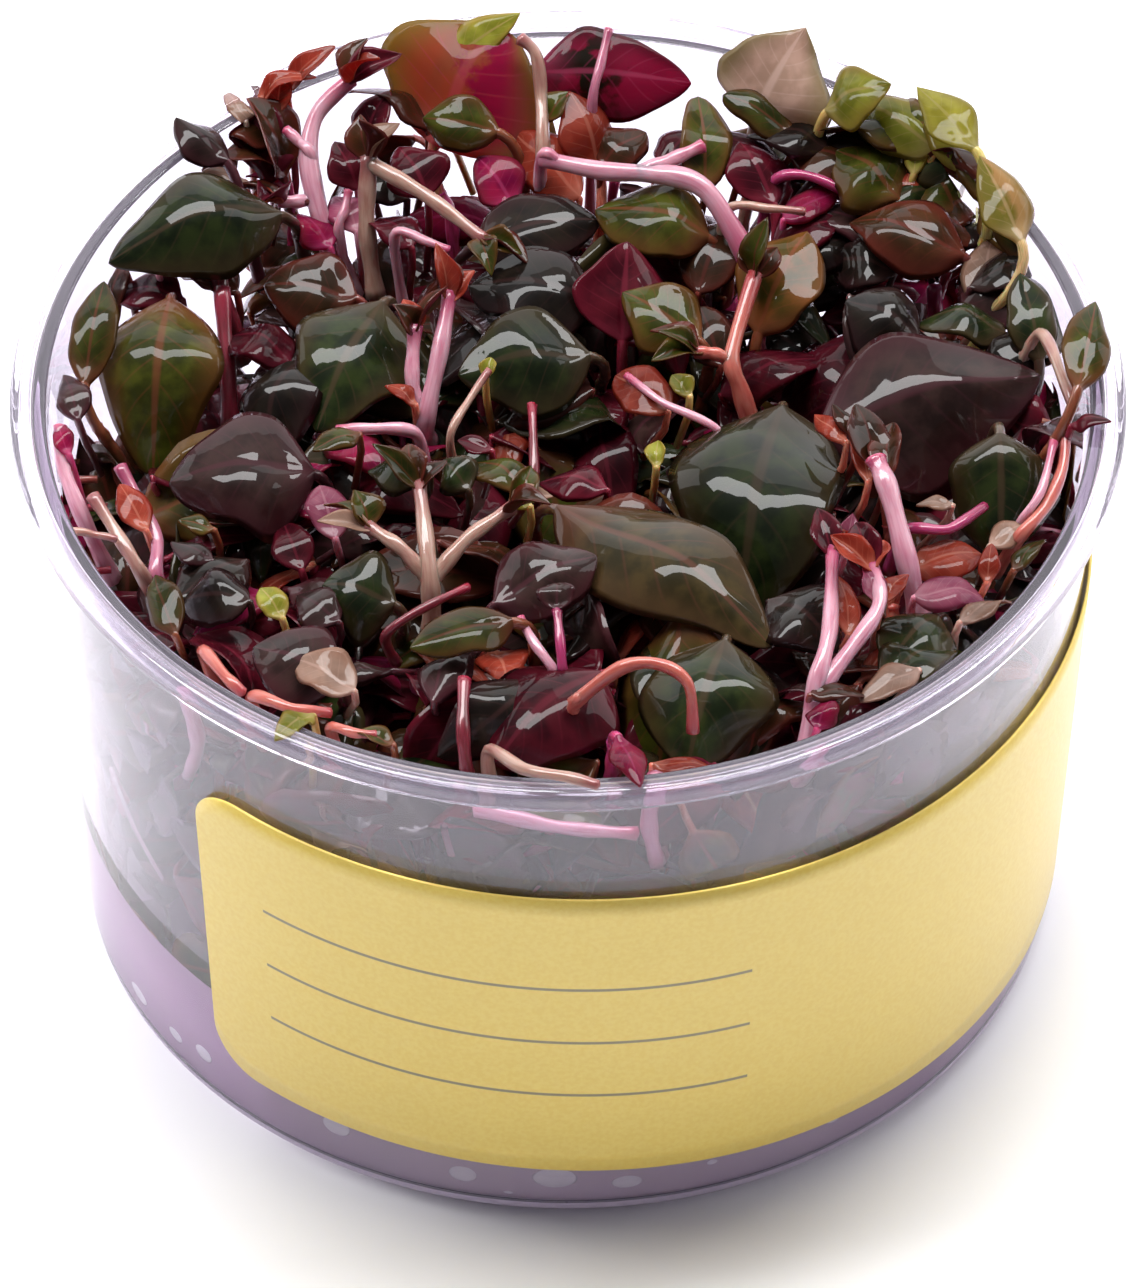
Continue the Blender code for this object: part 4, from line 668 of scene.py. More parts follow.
def leaf_material(name, tone, underside):
    """Wet leaf of red-leaved water plant: waxy skin under a film of water, so a dull blade with a
    sharp clear sheen. Veins are pressed in above and stand out below."""
    made, tree = new_material(name)
    place = add(tree, "ShaderNodeAttribute", attribute_name="leaf_place").outputs["Vector"]
    along, across, seed = add(tree, "ShaderNodeSeparateXYZ", {"Vector": place}).outputs
    spot = add(tree, "ShaderNodeTexCoord").outputs["Object"]
    blotch = add(tree, "ShaderNodeTexNoise",
                 {"Vector": spot, "Scale": 1.0 / (BLOTCH_SIZE * MM), "Detail": 4.0})
    side = add(tree, "ShaderNodeMath", {0: across}, operation="ABSOLUTE")
    share = add(tree, "ShaderNodeMapRange", {"Value": blotch, "From Min": 0.38, "From Max": 0.66}, **SMOOTH)
    if tone.split:
        # Light comes through the two halves of this leaf in two colours.
        way, start, end = (across, 0.1, 0.45) if tone.split == "across" else (along, 0.45, 0.75)
        uneven = add(tree, "ShaderNodeMath", {0: share, 1: 0.5}, operation="MULTIPLY")
        border = add(tree, "ShaderNodeMath", {0: way, 1: uneven}, operation="ADD")
        share = add(tree, "ShaderNodeMapRange",
                    {"Value": border, "From Min": start, "From Max": end}, **SMOOTH)
    first = tone.under if underside else tone.first
    blade = add(tree, "ShaderNodeMix", {"Factor": share, "A": first, "B": tone.second}, **COLOURS)
    outer = add(tree, "ShaderNodeMapRange", {"Value": side, "From Min": 0.4, "From Max": 1.0}, **SMOOTH)
    edge = add(tree, "ShaderNodeMath", {0: outer, 1: 0.75}, operation="MULTIPLY")
    rimmed = add(tree, "ShaderNodeMix", {"Factor": edge, "A": blade, "B": tone.margin}, **COLOURS)
    foot = add(tree, "ShaderNodeMapRange",
               {"Value": along, "From Min": 0.3, "From Max": 0.0, "To Max": 0.7}, **SMOOTH)
    footed = add(tree, "ShaderNodeMix", {"Factor": foot, "A": rimmed, "B": tone.vein}, **COLOURS)
    # Side veins leave the midrib in pairs and bend towards the tip.
    rise = add(tree, "ShaderNodeMath", {0: side, 1: VEIN_RISE}, operation="MULTIPLY")
    climb = add(tree, "ShaderNodeMath", {0: along, 1: rise}, operation="SUBTRACT")
    paired = add(tree, "ShaderNodeMath", {0: climb, 1: SIDE_VEINS}, operation="MULTIPLY")
    wave = add(tree, "ShaderNodeMath", {0: paired, 1: 0.5}, operation="PINGPONG")
    line = add(tree, "ShaderNodeMapRange", {"Value": wave, "From Min": 0.09, "From Max": 0.0}, **SMOOTH)
    fade = add(tree, "ShaderNodeMapRange", {"Value": side, "From Min": 1.0, "From Max": 0.5}, **SMOOTH)
    side_vein = add(tree, "ShaderNodeMath", {0: line, 1: fade}, operation="MULTIPLY")
    faint = add(tree, "ShaderNodeMath", {0: side_vein, 1: 0.45}, operation="MULTIPLY")
    midrib = add(tree, "ShaderNodeMapRange", {"Value": side, "From Min": 0.10, "From Max": 0.03}, **SMOOTH)
    vein = add(tree, "ShaderNodeMath", {0: faint, 1: midrib}, operation="MAXIMUM")
    veined = add(tree, "ShaderNodeMath", {0: vein, 1: 0.6}, operation="MULTIPLY")
    colour = add(tree, "ShaderNodeMix", {"Factor": veined, "A": footed, "B": tone.vein}, **COLOURS)
    # Some leaves are darker than others.
    shade = add(tree, "ShaderNodeMapRange", {"Value": seed, "To Min": 0.5, "To Max": 0.95}, **SMOOTH)
    shaded = add(tree, "ShaderNodeHueSaturation", {"Color": colour, "Value": shade})
    cells = add(tree, "ShaderNodeTexVoronoi", {"Vector": spot, "Scale": 1.0 / (CELL_SIZE * MM)})
    fine = add(tree, "ShaderNodeMath", {0: cells, 1: 0.15}, operation="MULTIPLY")
    pressed = add(tree, "ShaderNodeMath", {0: vein, 1: 1.0 if underside else -1.0}, operation="MULTIPLY")
    relief = add(tree, "ShaderNodeMath", {0: fine, 1: pressed}, operation="ADD")
    bump = add(tree, "ShaderNodeBump", {"Height": relief, "Strength": 0.12, "Distance": SKIN_RELIEF * MM})
    dull = add(tree, "ShaderNodeMapRange",
               {"Value": blotch, "From Min": 0.3, "From Max": 0.7, "To Min": 0.4, "To Max": 0.55}, **SMOOTH)
    skin = add(tree, "ShaderNodeBsdfPrincipled", {
        "Base Color": shaded, "Roughness": dull, "Normal": bump, "IOR": 1.33, "Specular IOR Level": 0.12,
        "Coat Weight": 1.0, "Coat Roughness": 0.03, "Coat IOR": 1.35})
    lit = add(tree, "ShaderNodeHueSaturation", {"Color": colour, "Saturation": 1.15, "Value": 1.3})
    through = add(tree, "ShaderNodeBsdfTranslucent", {"Color": lit})
    both = add(tree, "ShaderNodeMixShader", {0: tone.glow, 1: skin, 2: through})
    add(tree, "ShaderNodeOutputMaterial", {"Surface": both})
    return made


def stem_material(name, tone):
    """Fleshy water-plant stem: juicy, half clear flesh, paler at the foot, redder at the joints, with
    fine streaks along it."""
    flesh, streak, joint = tone
    made, tree = new_material(name)
    place = add(tree, "ShaderNodeAttribute", attribute_name="leaf_place").outputs["Vector"]
    along = add(tree, "ShaderNodeSeparateXYZ", {"Vector": place}).outputs["X"]
    spot = add(tree, "ShaderNodeTexCoord").outputs["Object"]
    drawn = add(tree, "ShaderNodeMapping", {"Vector": place, "Scale": (STREAK_RUN, STREAKS_ROUND, 1.0)})
    fibres = add(tree, "ShaderNodeTexNoise", {"Vector": drawn, "Scale": 1.0, "Detail": 2.0})
    patch = add(tree, "ShaderNodeTexNoise",
                {"Vector": spot, "Scale": 1.0 / (STEM_PATCH_SIZE * MM), "Detail": 2.0})
    share = add(tree, "ShaderNodeMapRange", {"Value": fibres, "From Min": 0.35, "From Max": 0.75}, **SMOOTH)
    streaked = add(tree, "ShaderNodeMix", {"Factor": share, "A": flesh, "B": streak}, **COLOURS)
    flushed = add(tree, "ShaderNodeMapRange",
                  {"Value": patch, "From Min": 0.55, "From Max": 0.75, "To Max": 0.6}, **SMOOTH)
    upper = add(tree, "ShaderNodeMapRange",
                {"Value": along, "From Min": 0.72, "From Max": 1.0, "To Max": 0.85}, **SMOOTH)
    redder = add(tree, "ShaderNodeMath", {0: flushed, 1: upper}, operation="MAXIMUM")
    colour = add(tree, "ShaderNodeMix", {"Factor": redder, "A": streaked, "B": joint}, **COLOURS)
    bump = add(tree, "ShaderNodeBump", {"Height": fibres, "Strength": 0.15, "Distance": 0.05 * MM})
    body = add(tree, "ShaderNodeBsdfPrincipled", {
        "Base Color": colour, "Normal": bump, "Roughness": 0.3, "IOR": 1.38, "Coat Weight": 0.8,
        "Coat Roughness": 0.05, "Subsurface Weight": 0.7, "Subsurface Scale": 1.2 * MM,
        "Subsurface Radius": (1.0, 0.45, 0.5)})
    add(tree, "ShaderNodeOutputMaterial", {"Surface": body})
    return made


def cup_material(name, ior, milky, through):
    """Polypropylene, injection moulded: clear but a little milky, with a hard gloss. Where gel wets
    it, it bends light only by the two materials' difference, so the gel's tint shows to the edge."""
    made, tree = new_material(name)
    spot = add(tree, "ShaderNodeTexCoord").outputs["Object"]
    flow = add(tree, "ShaderNodeTexNoise",
               {"Vector": spot, "Scale": 1.0 / (MOULD_FLOW_SIZE * MM), "Detail": 2.0})
    bump = add(tree, "ShaderNodeBump", {"Height": flow, "Strength": 0.1, "Distance": 0.4 * MM})
    colour = add(tree, "ShaderNodeMix", {"Factor": flow, "A": milky[0], "B": milky[1]}, **COLOURS)
    body = add(tree, "ShaderNodeBsdfPrincipled", {
        "Base Color": colour, "Normal": bump, "Transmission Weight": through, "Roughness": 0.02, "IOR": ior})
    add(tree, "ShaderNodeOutputMaterial", {"Surface": body})
    return made


def gel_material(name, ior):
    """Agar gel: clear, wet and tinted purple. Towards the front its colour turns nearly white: painted light,
    standing in for the glow of light that comes through the gel. Its side bends no light, because the wall
    that it wets has already done so."""
    made, tree = new_material(name)
    spot = add(tree, "ShaderNodeTexCoord").outputs["Object"]
    cloud = add(tree, "ShaderNodeTexNoise",
                {"Vector": spot, "Scale": 1.0 / (GEL_CLOUD_SIZE * MM), "Detail": 3.0})
    tint = add(tree, "ShaderNodeMix", {"Factor": cloud, "A": "#dcbcdc", "B": "#caa6ce"}, **COLOURS)
    back = add(tree, "ShaderNodeSeparateXYZ", {"Vector": spot}).outputs["Y"]
    front, full = GEL_PAINTED_GLOW_SPAN
    share = add(tree, "ShaderNodeMapRange",
                {"Value": back, "From Min": front * MM, "From Max": full * MM}, **SMOOTH)
    # Painted light: the gel's front is painted nearly white, for the glow of light coming through it.
    colour = add(tree, "ShaderNodeMix", {"Factor": share, "A": "#f9e6f8", "B": tint}, **COLOURS)
    body = add(tree, "ShaderNodeBsdfPrincipled",
               {"Base Color": colour, "Transmission Weight": 0.35, "Roughness": 0.08, "IOR": ior})
    add(tree, "ShaderNodeOutputMaterial", {"Surface": body})
    return made


def bubble_material():
    """Air pocket in agar gel, pressed flat against the wall. Its near-white colour is a painted reflection,
    for the light that the air film throws back.
    """
    made, tree = new_material("air_pocket_in_agar_gel")
    spot = add(tree, "ShaderNodeTexCoord").outputs["Object"]
    film = add(tree, "ShaderNodeTexNoise",
               {"Vector": spot, "Scale": 1.0 / (AIR_FILM_SIZE * MM), "Detail": 2.0})
    # Painted reflection: near white, for the light that the flat air film throws back.
    colour = add(tree, "ShaderNodeMix", {"Factor": film, "A": "#fcfafe", "B": "#f0ebf6"}, **COLOURS)
    body = add(tree, "ShaderNodeBsdfPrincipled",
               {"Base Color": colour, "Transmission Weight": 0.05, "Roughness": 0.1, "IOR": 1.1})
    add(tree, "ShaderNodeOutputMaterial", {"Surface": body})
    return made


def matt_base_material():
    """Polypropylene, matt under the cup, as a guess: milky. Its pale lilac colour is a painted reflection of
    the gel, which the rounded corner throws back.
    """
    made, tree = new_material("polypropylene_matt_underside")
    spot = add(tree, "ShaderNodeTexCoord").outputs["Object"]
    pits = add(tree, "ShaderNodeTexNoise",
               {"Vector": spot, "Scale": 1.0 / (MATT_PIT_SIZE * MM), "Detail": 3.0})
    bump = add(tree, "ShaderNodeBump", {"Height": pits, "Strength": 0.3, "Distance": 0.05 * MM})
    # Painted reflection: pale lilac, for the gel's tint that the rounded corner throws back.
    colour = add(tree, "ShaderNodeMix", {"Factor": pits, "A": "#ded0e6", "B": "#d2c0dc"}, **COLOURS)
    body = add(tree, "ShaderNodeBsdfPrincipled", {
        "Base Color": colour, "Normal": bump, "Transmission Weight": 0.3, "Roughness": 0.4,
        "IOR": PLASTIC_IOR})
    add(tree, "ShaderNodeOutputMaterial", {"Surface": body})
    return made


def label_material():
    """Vinyl label film, printed plain yellow, semi-gloss, with thin ruled lines to write on."""
    made, tree = new_material("vinyl_label_film_yellow")
    place = add(tree, "ShaderNodeAttribute", attribute_name="label_place").outputs["Vector"]
    along, up, _ = add(tree, "ShaderNodeSeparateXYZ", {"Vector": place}).outputs
    spot = add(tree, "ShaderNodeTexCoord").outputs["Object"]
    grain = add(tree, "ShaderNodeTexNoise",
                {"Vector": spot, "Scale": 1.0 / (FILM_GRAIN_SIZE * MM), "Detail": 3.0})
    share = add(tree, "ShaderNodeMapRange", {"Value": grain, "From Min": 0.3, "From Max": 0.7}, **SMOOTH)
    colour = add(tree, "ShaderNodeMix", {"Factor": share, "A": "#e6c65e", "B": "#eace6a"}, **COLOURS)
    outside, inside = RULE_HALF_WIDTH
    for height, length in RULED_LINES:
        lift = add(tree, "ShaderNodeMath", {0: up, 1: height}, operation="SUBTRACT")
        off = add(tree, "ShaderNodeMath", {0: lift}, operation="ABSOLUTE")
        ink = add(tree, "ShaderNodeMapRange",
                  {"Value": off, "From Min": outside, "From Max": inside}, **SMOOTH)
        end = RULE_START + length
        for bare, full in ((RULE_START, RULE_START + RULE_END_FADE), (end, end - RULE_END_FADE)):
            kept = add(tree, "ShaderNodeMapRange",
                       {"Value": along, "From Min": bare, "From Max": full}, **SMOOTH)
            ink = add(tree, "ShaderNodeMath", {0: ink, 1: kept}, operation="MULTIPLY")
        thin = add(tree, "ShaderNodeMath", {0: ink, 1: 0.8}, operation="MULTIPLY")
        colour = add(tree, "ShaderNodeMix", {"Factor": thin, "A": colour, "B": "#55565a"}, **COLOURS)
    bump = add(tree, "ShaderNodeBump", {"Height": grain, "Strength": 0.05, "Distance": 0.05 * MM})
    body = add(tree, "ShaderNodeBsdfPrincipled", {
        "Base Color": colour, "Normal": bump, "Roughness": 0.35, "IOR": 1.5, "Coat Weight": 0.3,
        "Coat Roughness": 0.2})
    add(tree, "ShaderNodeOutputMaterial", {"Surface": body})
    return made


def floor_material():
    """Plain white studio floor."""
    made, tree = new_material("studio_floor_white")
    spot = add(tree, "ShaderNodeTexCoord").outputs["Object"]
    fine = add(tree, "ShaderNodeTexNoise", {"Vector": spot, "Scale": 1.0 / (FLOOR_GRAIN_SIZE * MM)})
    colour = add(tree, "ShaderNodeMix", {"Factor": fine, "A": "#f6f6f8", "B": "#fafafc"}, **COLOURS)
    body = add(tree, "ShaderNodeBsdfPrincipled", {"Base Color": colour, "Roughness": 0.6})
    add(tree, "ShaderNodeOutputMaterial", {"Surface": body})
    return made


def make_piece(name, points, faces, materials, face_slots=None, place=None, place_name="leaf_place"):
    """A smooth mesh object from points in millimetres."""
    mesh = bpy.data.meshes.new(name)
    mesh.from_pydata((np.asarray(points, float) * MM).tolist(), [], faces)
    for finish in materials:
        mesh.materials.append(finish)
    if face_slots is not None:
        mesh.polygons.foreach_set("material_index", np.asarray(face_slots, np.int32))
    if place is not None:
        layer = mesh.attributes.new(place_name, "FLOAT_VECTOR", "POINT")
        layer.data.foreach_set("vector", np.asarray(place, np.float32).ravel())
    mesh.polygons.foreach_set("use_smooth", np.ones(len(faces), bool))
    mesh.update()
    item = bpy.data.objects.new(name, mesh)
    bpy.context.scene.collection.objects.link(item)
    return item


def wall_radius(z):
    """Outer radius of the cup's tapered wall at a height."""
    share = (z - CORNER) / ((CUP_HEIGHT - RIM_STEP) - CORNER)
    return WALL_RADIUS_BASE + (WALL_RADIUS_TOP - WALL_RADIUS_BASE) * share


def arc(centre, radius, start, end, steps):
    """Points (radius, height) along an arc, angles in degrees."""
    turns = [math.radians(start + (end - start) * i / steps) for i in range(steps + 1)]
    return [(centre[0] + radius * math.cos(t), centre[1] + radius * math.sin(t)) for t in turns]


def turned(profile):
    """A closed body turned from a profile that starts and ends on the axis."""
    turns = np.arange(TURNED_SIDES) * 2.0 * math.pi / TURNED_SIDES
    points = [(0.0, 0.0, profile[0][1])]
    for radius, height in profile[1:-1]:
        points += [(radius * math.cos(t), radius * math.sin(t), height) for t in turns]
    points.append((0.0, 0.0, profile[-1][1]))
    faces = []
    rings = len(profile) - 2
    for i in range(TURNED_SIDES):
        j = (i + 1) % TURNED_SIDES
        faces.append((0, 1 + j, 1 + i))
        for k in range(rings - 1):
            low, high = 1 + k * TURNED_SIDES, 1 + (k + 1) * TURNED_SIDES
            faces.append((low + i, low + j, high + j, high + i))
        top = 1 + (rings - 1) * TURNED_SIDES
        faces.append((top + i, top + j, len(points) - 1))
    return points, faces


def wetted(points, face):
    """True for a face of the cup's inside that lies under the gel."""
    spots = [points[i] for i in face]
    height = sum(spot[2] for spot in spots) / len(spots)
    reach = sum(math.hypot(spot[0], spot[1]) for spot in spots) / len(spots)
    inside = reach < wall_radius(max(height, CORNER)) - 0.6 * WALL and height > 0.7 * FLOOR
    corner_reach = math.hypot(max(0.0, reach - (WALL_RADIUS_BASE - CORNER)), CORNER - height)
    if height < CORNER:
        inside = height > 0.7 * FLOOR and corner_reach < CORNER - 0.5 * WALL
    return inside and height < GEL_TOP + MENISCUS


def under_base(points, face):
    """True for a face of the outside of the base, up to the end of its rounded corner."""
    spots = [points[i] for i in face]
    low, high = min(spot[2] for spot in spots), max(spot[2] for spot in spots)
    reach = max(math.hypot(spot[0], spot[1]) for spot in spots)
    return high < CORNER + 0.05 and (low < 0.7 * FLOOR or reach > WALL_RADIUS_BASE - 0.5 * WALL)


def make_cup():
    """Cup with its rounded corner, tapered wall, stepped rim, flange and turned-down lip."""
    wall_top = CUP_HEIGHT - RIM_STEP
    under = CUP_HEIGHT - FLANGE
    foot = CUP_HEIGHT - LIP_DEPTH
    inner = LIP_RADIUS - LIP_WALL
    outer_edge = wall_radius(wall_top)
    inner_edge = outer_edge - WALL
    step = outer_edge + STEP_WIDTH
    corner_centre = (WALL_RADIUS_BASE - CORNER, CORNER)
    floor_corner = (corner_centre[0], CORNER + FLOOR - WALL)
    # Outside, from the middle of the base up to the flange
    profile = [(radius, 0.0) for radius in BASE_RINGS] + arc(corner_centre, CORNER, -90, 0, 12)
    profile += [(wall_radius(z), z) for z in OUTER_WALL_RINGS]
    profile += arc((wall_radius(under) + UNDER_FILLET, under - UNDER_FILLET), UNDER_FILLET, 180, 90, 4)
    # Lip, down its inside and up its outside
    profile += arc((inner - LIP_ROOT_FILLET, under - LIP_ROOT_FILLET), LIP_ROOT_FILLET, 90, 0, 3)
    profile += arc((inner + LIP_INNER_ROUND, foot + LIP_INNER_ROUND), LIP_INNER_ROUND, 180, 270, 3)
    profile += arc((LIP_RADIUS - LIP_OUTER_ROUND, foot + LIP_OUTER_ROUND), LIP_OUTER_ROUND, 270, 360, 4)
    profile += arc((LIP_RADIUS - LIP_SHOULDER, CUP_HEIGHT - LIP_SHOULDER), LIP_SHOULDER, 0, 90, 10)
    # Step down to the wall's top edge
    profile += arc((step + STEP_FILLET, CUP_HEIGHT - STEP_FILLET), STEP_FILLET, 90, 180, 4)
    profile += arc((step - STEP_FOOT, wall_top + STEP_FOOT_LIFT), STEP_FOOT, 0, -90, 2)
    profile += [(outer_edge - STEP_FOOT, wall_top), (inner_edge + RIM_CROWN[0], wall_top + RIM_CROWN[1])]
    profile += arc((inner_edge + RIM_ROUND, wall_top - RIM_DROP), RIM_ROUND, 90, 180, 5)
    # Inside, down to the floor
    profile += [(wall_radius(z) - WALL, z) for z in INNER_WALL_RINGS]
    profile += arc(floor_corner, CORNER - WALL, 0, -90, 8) + [(radius, FLOOR) for radius in FLOOR_RINGS]
    points, faces = turned(profile)
    finish_of = [2 if under_base(points, face) else int(wetted(points, face)) for face in faces]
    finishes = [
        cup_material("polypropylene_clear_moulded", PLASTIC_IOR,
                     milky=("#f0e9f6", "#e3daec"), through=0.95),
        cup_material("polypropylene_wet_with_gel", PLASTIC_IOR / GEL_IOR,
                     milky=("#fefdff", "#faf8fd"), through=1.0),
        matt_base_material(),
    ]
    cup = make_piece("clear_cup", points, faces, finishes, finish_of)
    cup.visible_shadow = False    # light reaches the leaves through the clear wall
    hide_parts("cup")
    return cup


def bubble_mesh(centre, wide, tall):
    """A flat air pocket in the gel, on its side: a closed lens."""
    out = Vector((centre.x, centre.y, 0.0)).normalized()
    aside = out.cross(UP)
    thick = 0.5 * BUBBLE_THICKNESS
    rings, sectors = BUBBLE_RINGS, BUBBLE_SECTORS
    points = [tuple(centre + UP * tall), tuple(centre - UP * tall)]
    for ring in range(1, rings):
        lift, reach = math.cos(math.pi * ring / rings), math.sin(math.pi * ring / rings)
        for sector in range(sectors):
            turn = 2.0 * math.pi * sector / sectors
            spot = aside * (wide * reach * math.cos(turn)) + out * (thick * reach * math.sin(turn))
            points.append(tuple(centre + spot + UP * (tall * lift)))
    faces = []
    for sector in range(sectors):
        after = (sector + 1) % sectors
        faces.append((0, 2 + sector, 2 + after))
        for ring in range(rings - 2):
            low = 2 + ring * sectors
            faces.append((low + sector, low + sectors + sector, low + sectors + after, low + after))
        last = 2 + (rings - 2) * sectors
        faces.append((1, last + after, last + sector))
    return points, faces


def uneven_top(points, edge):
    """Sink the gel's top a little, by a slow swell that ends at the wall."""
    points = np.array(points)
    x, y, z = points.T
    high = z >= GEL_TOP - 0.01
    reach_in = np.clip((edge - np.hypot(x, y)) / SWELL_RUN, 0.0, 1.0)
    swell = np.sin(x * 0.31) * np.cos(y * 0.27) + np.sin(x * 0.9 + y * 0.7)
    points[:, 2] += np.where(high, -SWELL * reach_in * (1.2 + swell), 0.0)
    return points


def make_gel():
    """Gel with its meniscus, a slightly uneven top, and air pockets caught against the wall."""
    reach = CORNER - WALL - GEL_GAP
    corner = arc((WALL_RADIUS_BASE - CORNER, CORNER + FLOOR - WALL), reach, -90.0, 0.0, 8)
    edge = wall_radius(GEL_TOP) - WALL - GEL_GAP
    top = [(edge - away, GEL_TOP + lift) for away, lift in ((0.0, MENISCUS), *MENISCUS_STEPS)]
    top += [(radius, GEL_TOP) for radius in (edge - MENISCUS_RUN, *GEL_TOP_RINGS, 0.0)]
    points, faces = turned([(0.0, FLOOR + GEL_GAP)] + corner + top)
    points = uneven_top(points, edge)
    finish_of = [int(min(points[i][2] for i in face) >= GEL_TOP - 1.0) for face in faces]
    points, faces = points.tolist(), list(faces)
    for x, z, wide, tall in BUBBLES:
        radius = wall_radius(max(z, CORNER)) - WALL - GEL_GAP - BUBBLE_DEPTH
        centre = Vector((x, -math.sqrt(radius ** 2 - x ** 2), z))
        shell, sides = bubble_mesh(centre, wide / 2.0, tall / 2.0)
        faces += [tuple(i + len(points) for i in side) for side in sides]
        points += shell
        finish_of += [2] * len(sides)
    finishes = [
        gel_material("agar_gel_against_wall", ior=1.0),
        gel_material("agar_gel_purple_tint", ior=GEL_IOR),
        bubble_material(),
    ]
    gel = make_piece("clear_gel", points, faces, finishes, finish_of)
    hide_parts("gel")
    return gel


def make_label():
    """Film label with rounded corners, wrapped round the wall."""
    sweep = math.radians(LABEL_END - LABEL_START)
    corner_turn = LABEL_CORNER / WALL_RADIUS_BASE
    steps = LABEL_CORNER_STEPS
    rounds = [corner_turn * (1.0 - math.cos(math.pi / 2.0 * i / steps)) for i in range(steps + 1)]
    plain = sweep - 2.0 * corner_turn
    turns = rounds + [corner_turn + plain * i / LABEL_COLUMNS for i in range(1, LABEL_COLUMNS)]
    turns += [sweep - turn for turn in reversed(rounds)]
    points, place, faces = [], [], []
    for layer in (LABEL_THICKNESS, 0.0):
        for turn in turns:
            across = max(0.0, corner_turn - min(turn, sweep - turn)) * WALL_RADIUS_BASE
            drop = LABEL_CORNER - math.sqrt(max(LABEL_CORNER ** 2 - across ** 2, 0.0))
            angle = math.radians(LABEL_START) + turn
            slant = LABEL_SLANT * (angle + math.pi / 2.0)
            low, high = LABEL_LOW + drop, LABEL_HIGH - drop
            for row in range(LABEL_ROWS + 1):
                z = low + (high - low) * row / LABEL_ROWS
                radius = wall_radius(z + slant) + LABEL_GAP + layer
                points.append((radius * math.cos(angle), radius * math.sin(angle), z + slant))
                place.append((turn * WALL_RADIUS_BASE, z - LABEL_LOW, 0.0))
    wide, tall = len(turns), LABEL_ROWS + 1
    back = wide * tall
    for column in range(wide - 1):
        low, after = column * tall, (column + 1) * tall
        for row in range(LABEL_ROWS):
            a, b = low + row, after + row
            faces += [(a, b, b + 1, a + 1), (back + a, back + a + 1, back + b + 1, back + b)]
        high, high_after = low + LABEL_ROWS, after + LABEL_ROWS
        faces += [(low, back + low, back + after, after), (high, high_after, back + high_after, back + high)]
    for row in range(LABEL_ROWS):
        last = (wide - 1) * tall + row
        faces += [(row, row + 1, back + row + 1, back + row), (last, back + last, back + last + 1, last + 1)]
    label = make_piece("bare_label", points, faces, [label_material()], None, place, "label_place")
    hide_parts("label")
    return label


def half_width_share(share):
    """Half width of a plain leaf as a share of its widest."""
    return math.sin(math.pi * share ** BLADE_SHIFT) ** BLADE_TAPER


def blade_outline(share, taper, shift):
    """Half width of a full blade as a share of its widest: narrow at the foot, pointed at the tip."""
    return np.sin(math.pi * np.clip(share, 0.0, 1.0) ** shift) ** (taper * (1.2 - 0.2 * share))


def leaf_axes(leaf):
    """Base, heading, length, level side, and the side and upper direction where the blade starts."""
    base, tip = Vector(leaf.base), Vector(leaf.tip)
    along = (tip - base).normalized()
    level = along.cross(UP).normalized()
    side = Matrix.Rotation(math.radians(leaf.turn), 3, along) @ level
    return base, along, (tip - base).length, level, side, side.cross(along)


def stalk_frames(leaf, shares, curve=STALK_BEND):
    """Centre, side and upper direction at each share of the stalk, which bends before the blade."""
    base, along, length, level, side, normal = leaf_axes(leaf)
    root = Vector(leaf.root)
    start = (along + normal * (4.0 * leaf.arch / length)).normalized()
    bend = base - start * (curve * (base - root).length)
    frames = []
    for share in shares:
        lower, upper = root.lerp(bend, share), bend.lerp(base, share)
        heading = (upper - lower).normalized()
        flat = (side - heading * side.dot(heading)).normalized()
        frames.append((lower.lerp(upper, share), flat, flat.cross(heading)))
    return frames


def plain_arch(share):
    """Lift of a plain leaf's midrib along it, as a share of its highest."""
    return 4.0 * share * (1.0 - share)


def crested_arch(crest):
    """Lift of a full leaf's midrib: nearly straight up to a crest, and straight down after it."""
    def lift(share):
        reach = crest if share < crest else 1.0 - crest
        drop = math.hypot(share - crest, CREASE_SOFTNESS) - CREASE_SOFTNESS
        return 1.0 - drop / (math.hypot(reach, CREASE_SOFTNESS) - CREASE_SOFTNESS)
    return lift


def creased(across, crease):
    """Droop of one side from the midrib to the margin: level up to a crease, then straight down."""
    def turned_down(value):
        return value - crease + np.sqrt((value - crease) ** 2 + CREASE_SOFTNESS ** 2)
    return (turned_down(across) - turned_down(0.0)) / (turned_down(1.0) - turned_down(0.0))


def blade_frames(leaf, shares, arch_of=plain_arch):
    """Centre, side and upper direction at each share of the blade, which twists along its length."""
    base, along, length, level, side, normal = leaf_axes(leaf)
    frames = []
    for share in shares:
        centre = base + along * (length * share) + normal * (leaf.arch * arch_of(share))
        twisted = Matrix.Rotation(math.radians(leaf.turn + leaf.twist * share), 3, along) @ level
        frames.append((centre, twisted, twisted.cross(along)))
    return frames


def plain_corners(leaf):
    """Lowest and highest corner of the leaf as it was first laid out, before it settled."""
    spread = [(frame, STALK_RADIUS, STALK_RADIUS, 0.0, 0.0) for frame in stalk_frames(leaf, STALK_STATIONS)]
    for frame, share in zip(blade_frames(leaf, PLAIN_STATIONS), PLAIN_STATIONS):
        half = leaf.width / 2.0 * half_width_share(share)
        spread.append((frame, half, BLADE_HALF_THICKNESS, leaf.left, leaf.right))
    points = [Vector(leaf.tip)]
    for (centre, flat, face), half, thick, left, right in spread:
        for across, layer in RING_PLACES:
            droop = (left if across < 0 else right) * half * abs(across) ** DROOP_CURVE
            height = layer * thick * math.sqrt(1.0 - across * across) - droop
            points.append(centre + flat * (across * half) + face * height)
    points = np.array(points)
    return points.min(0), points.max(0)


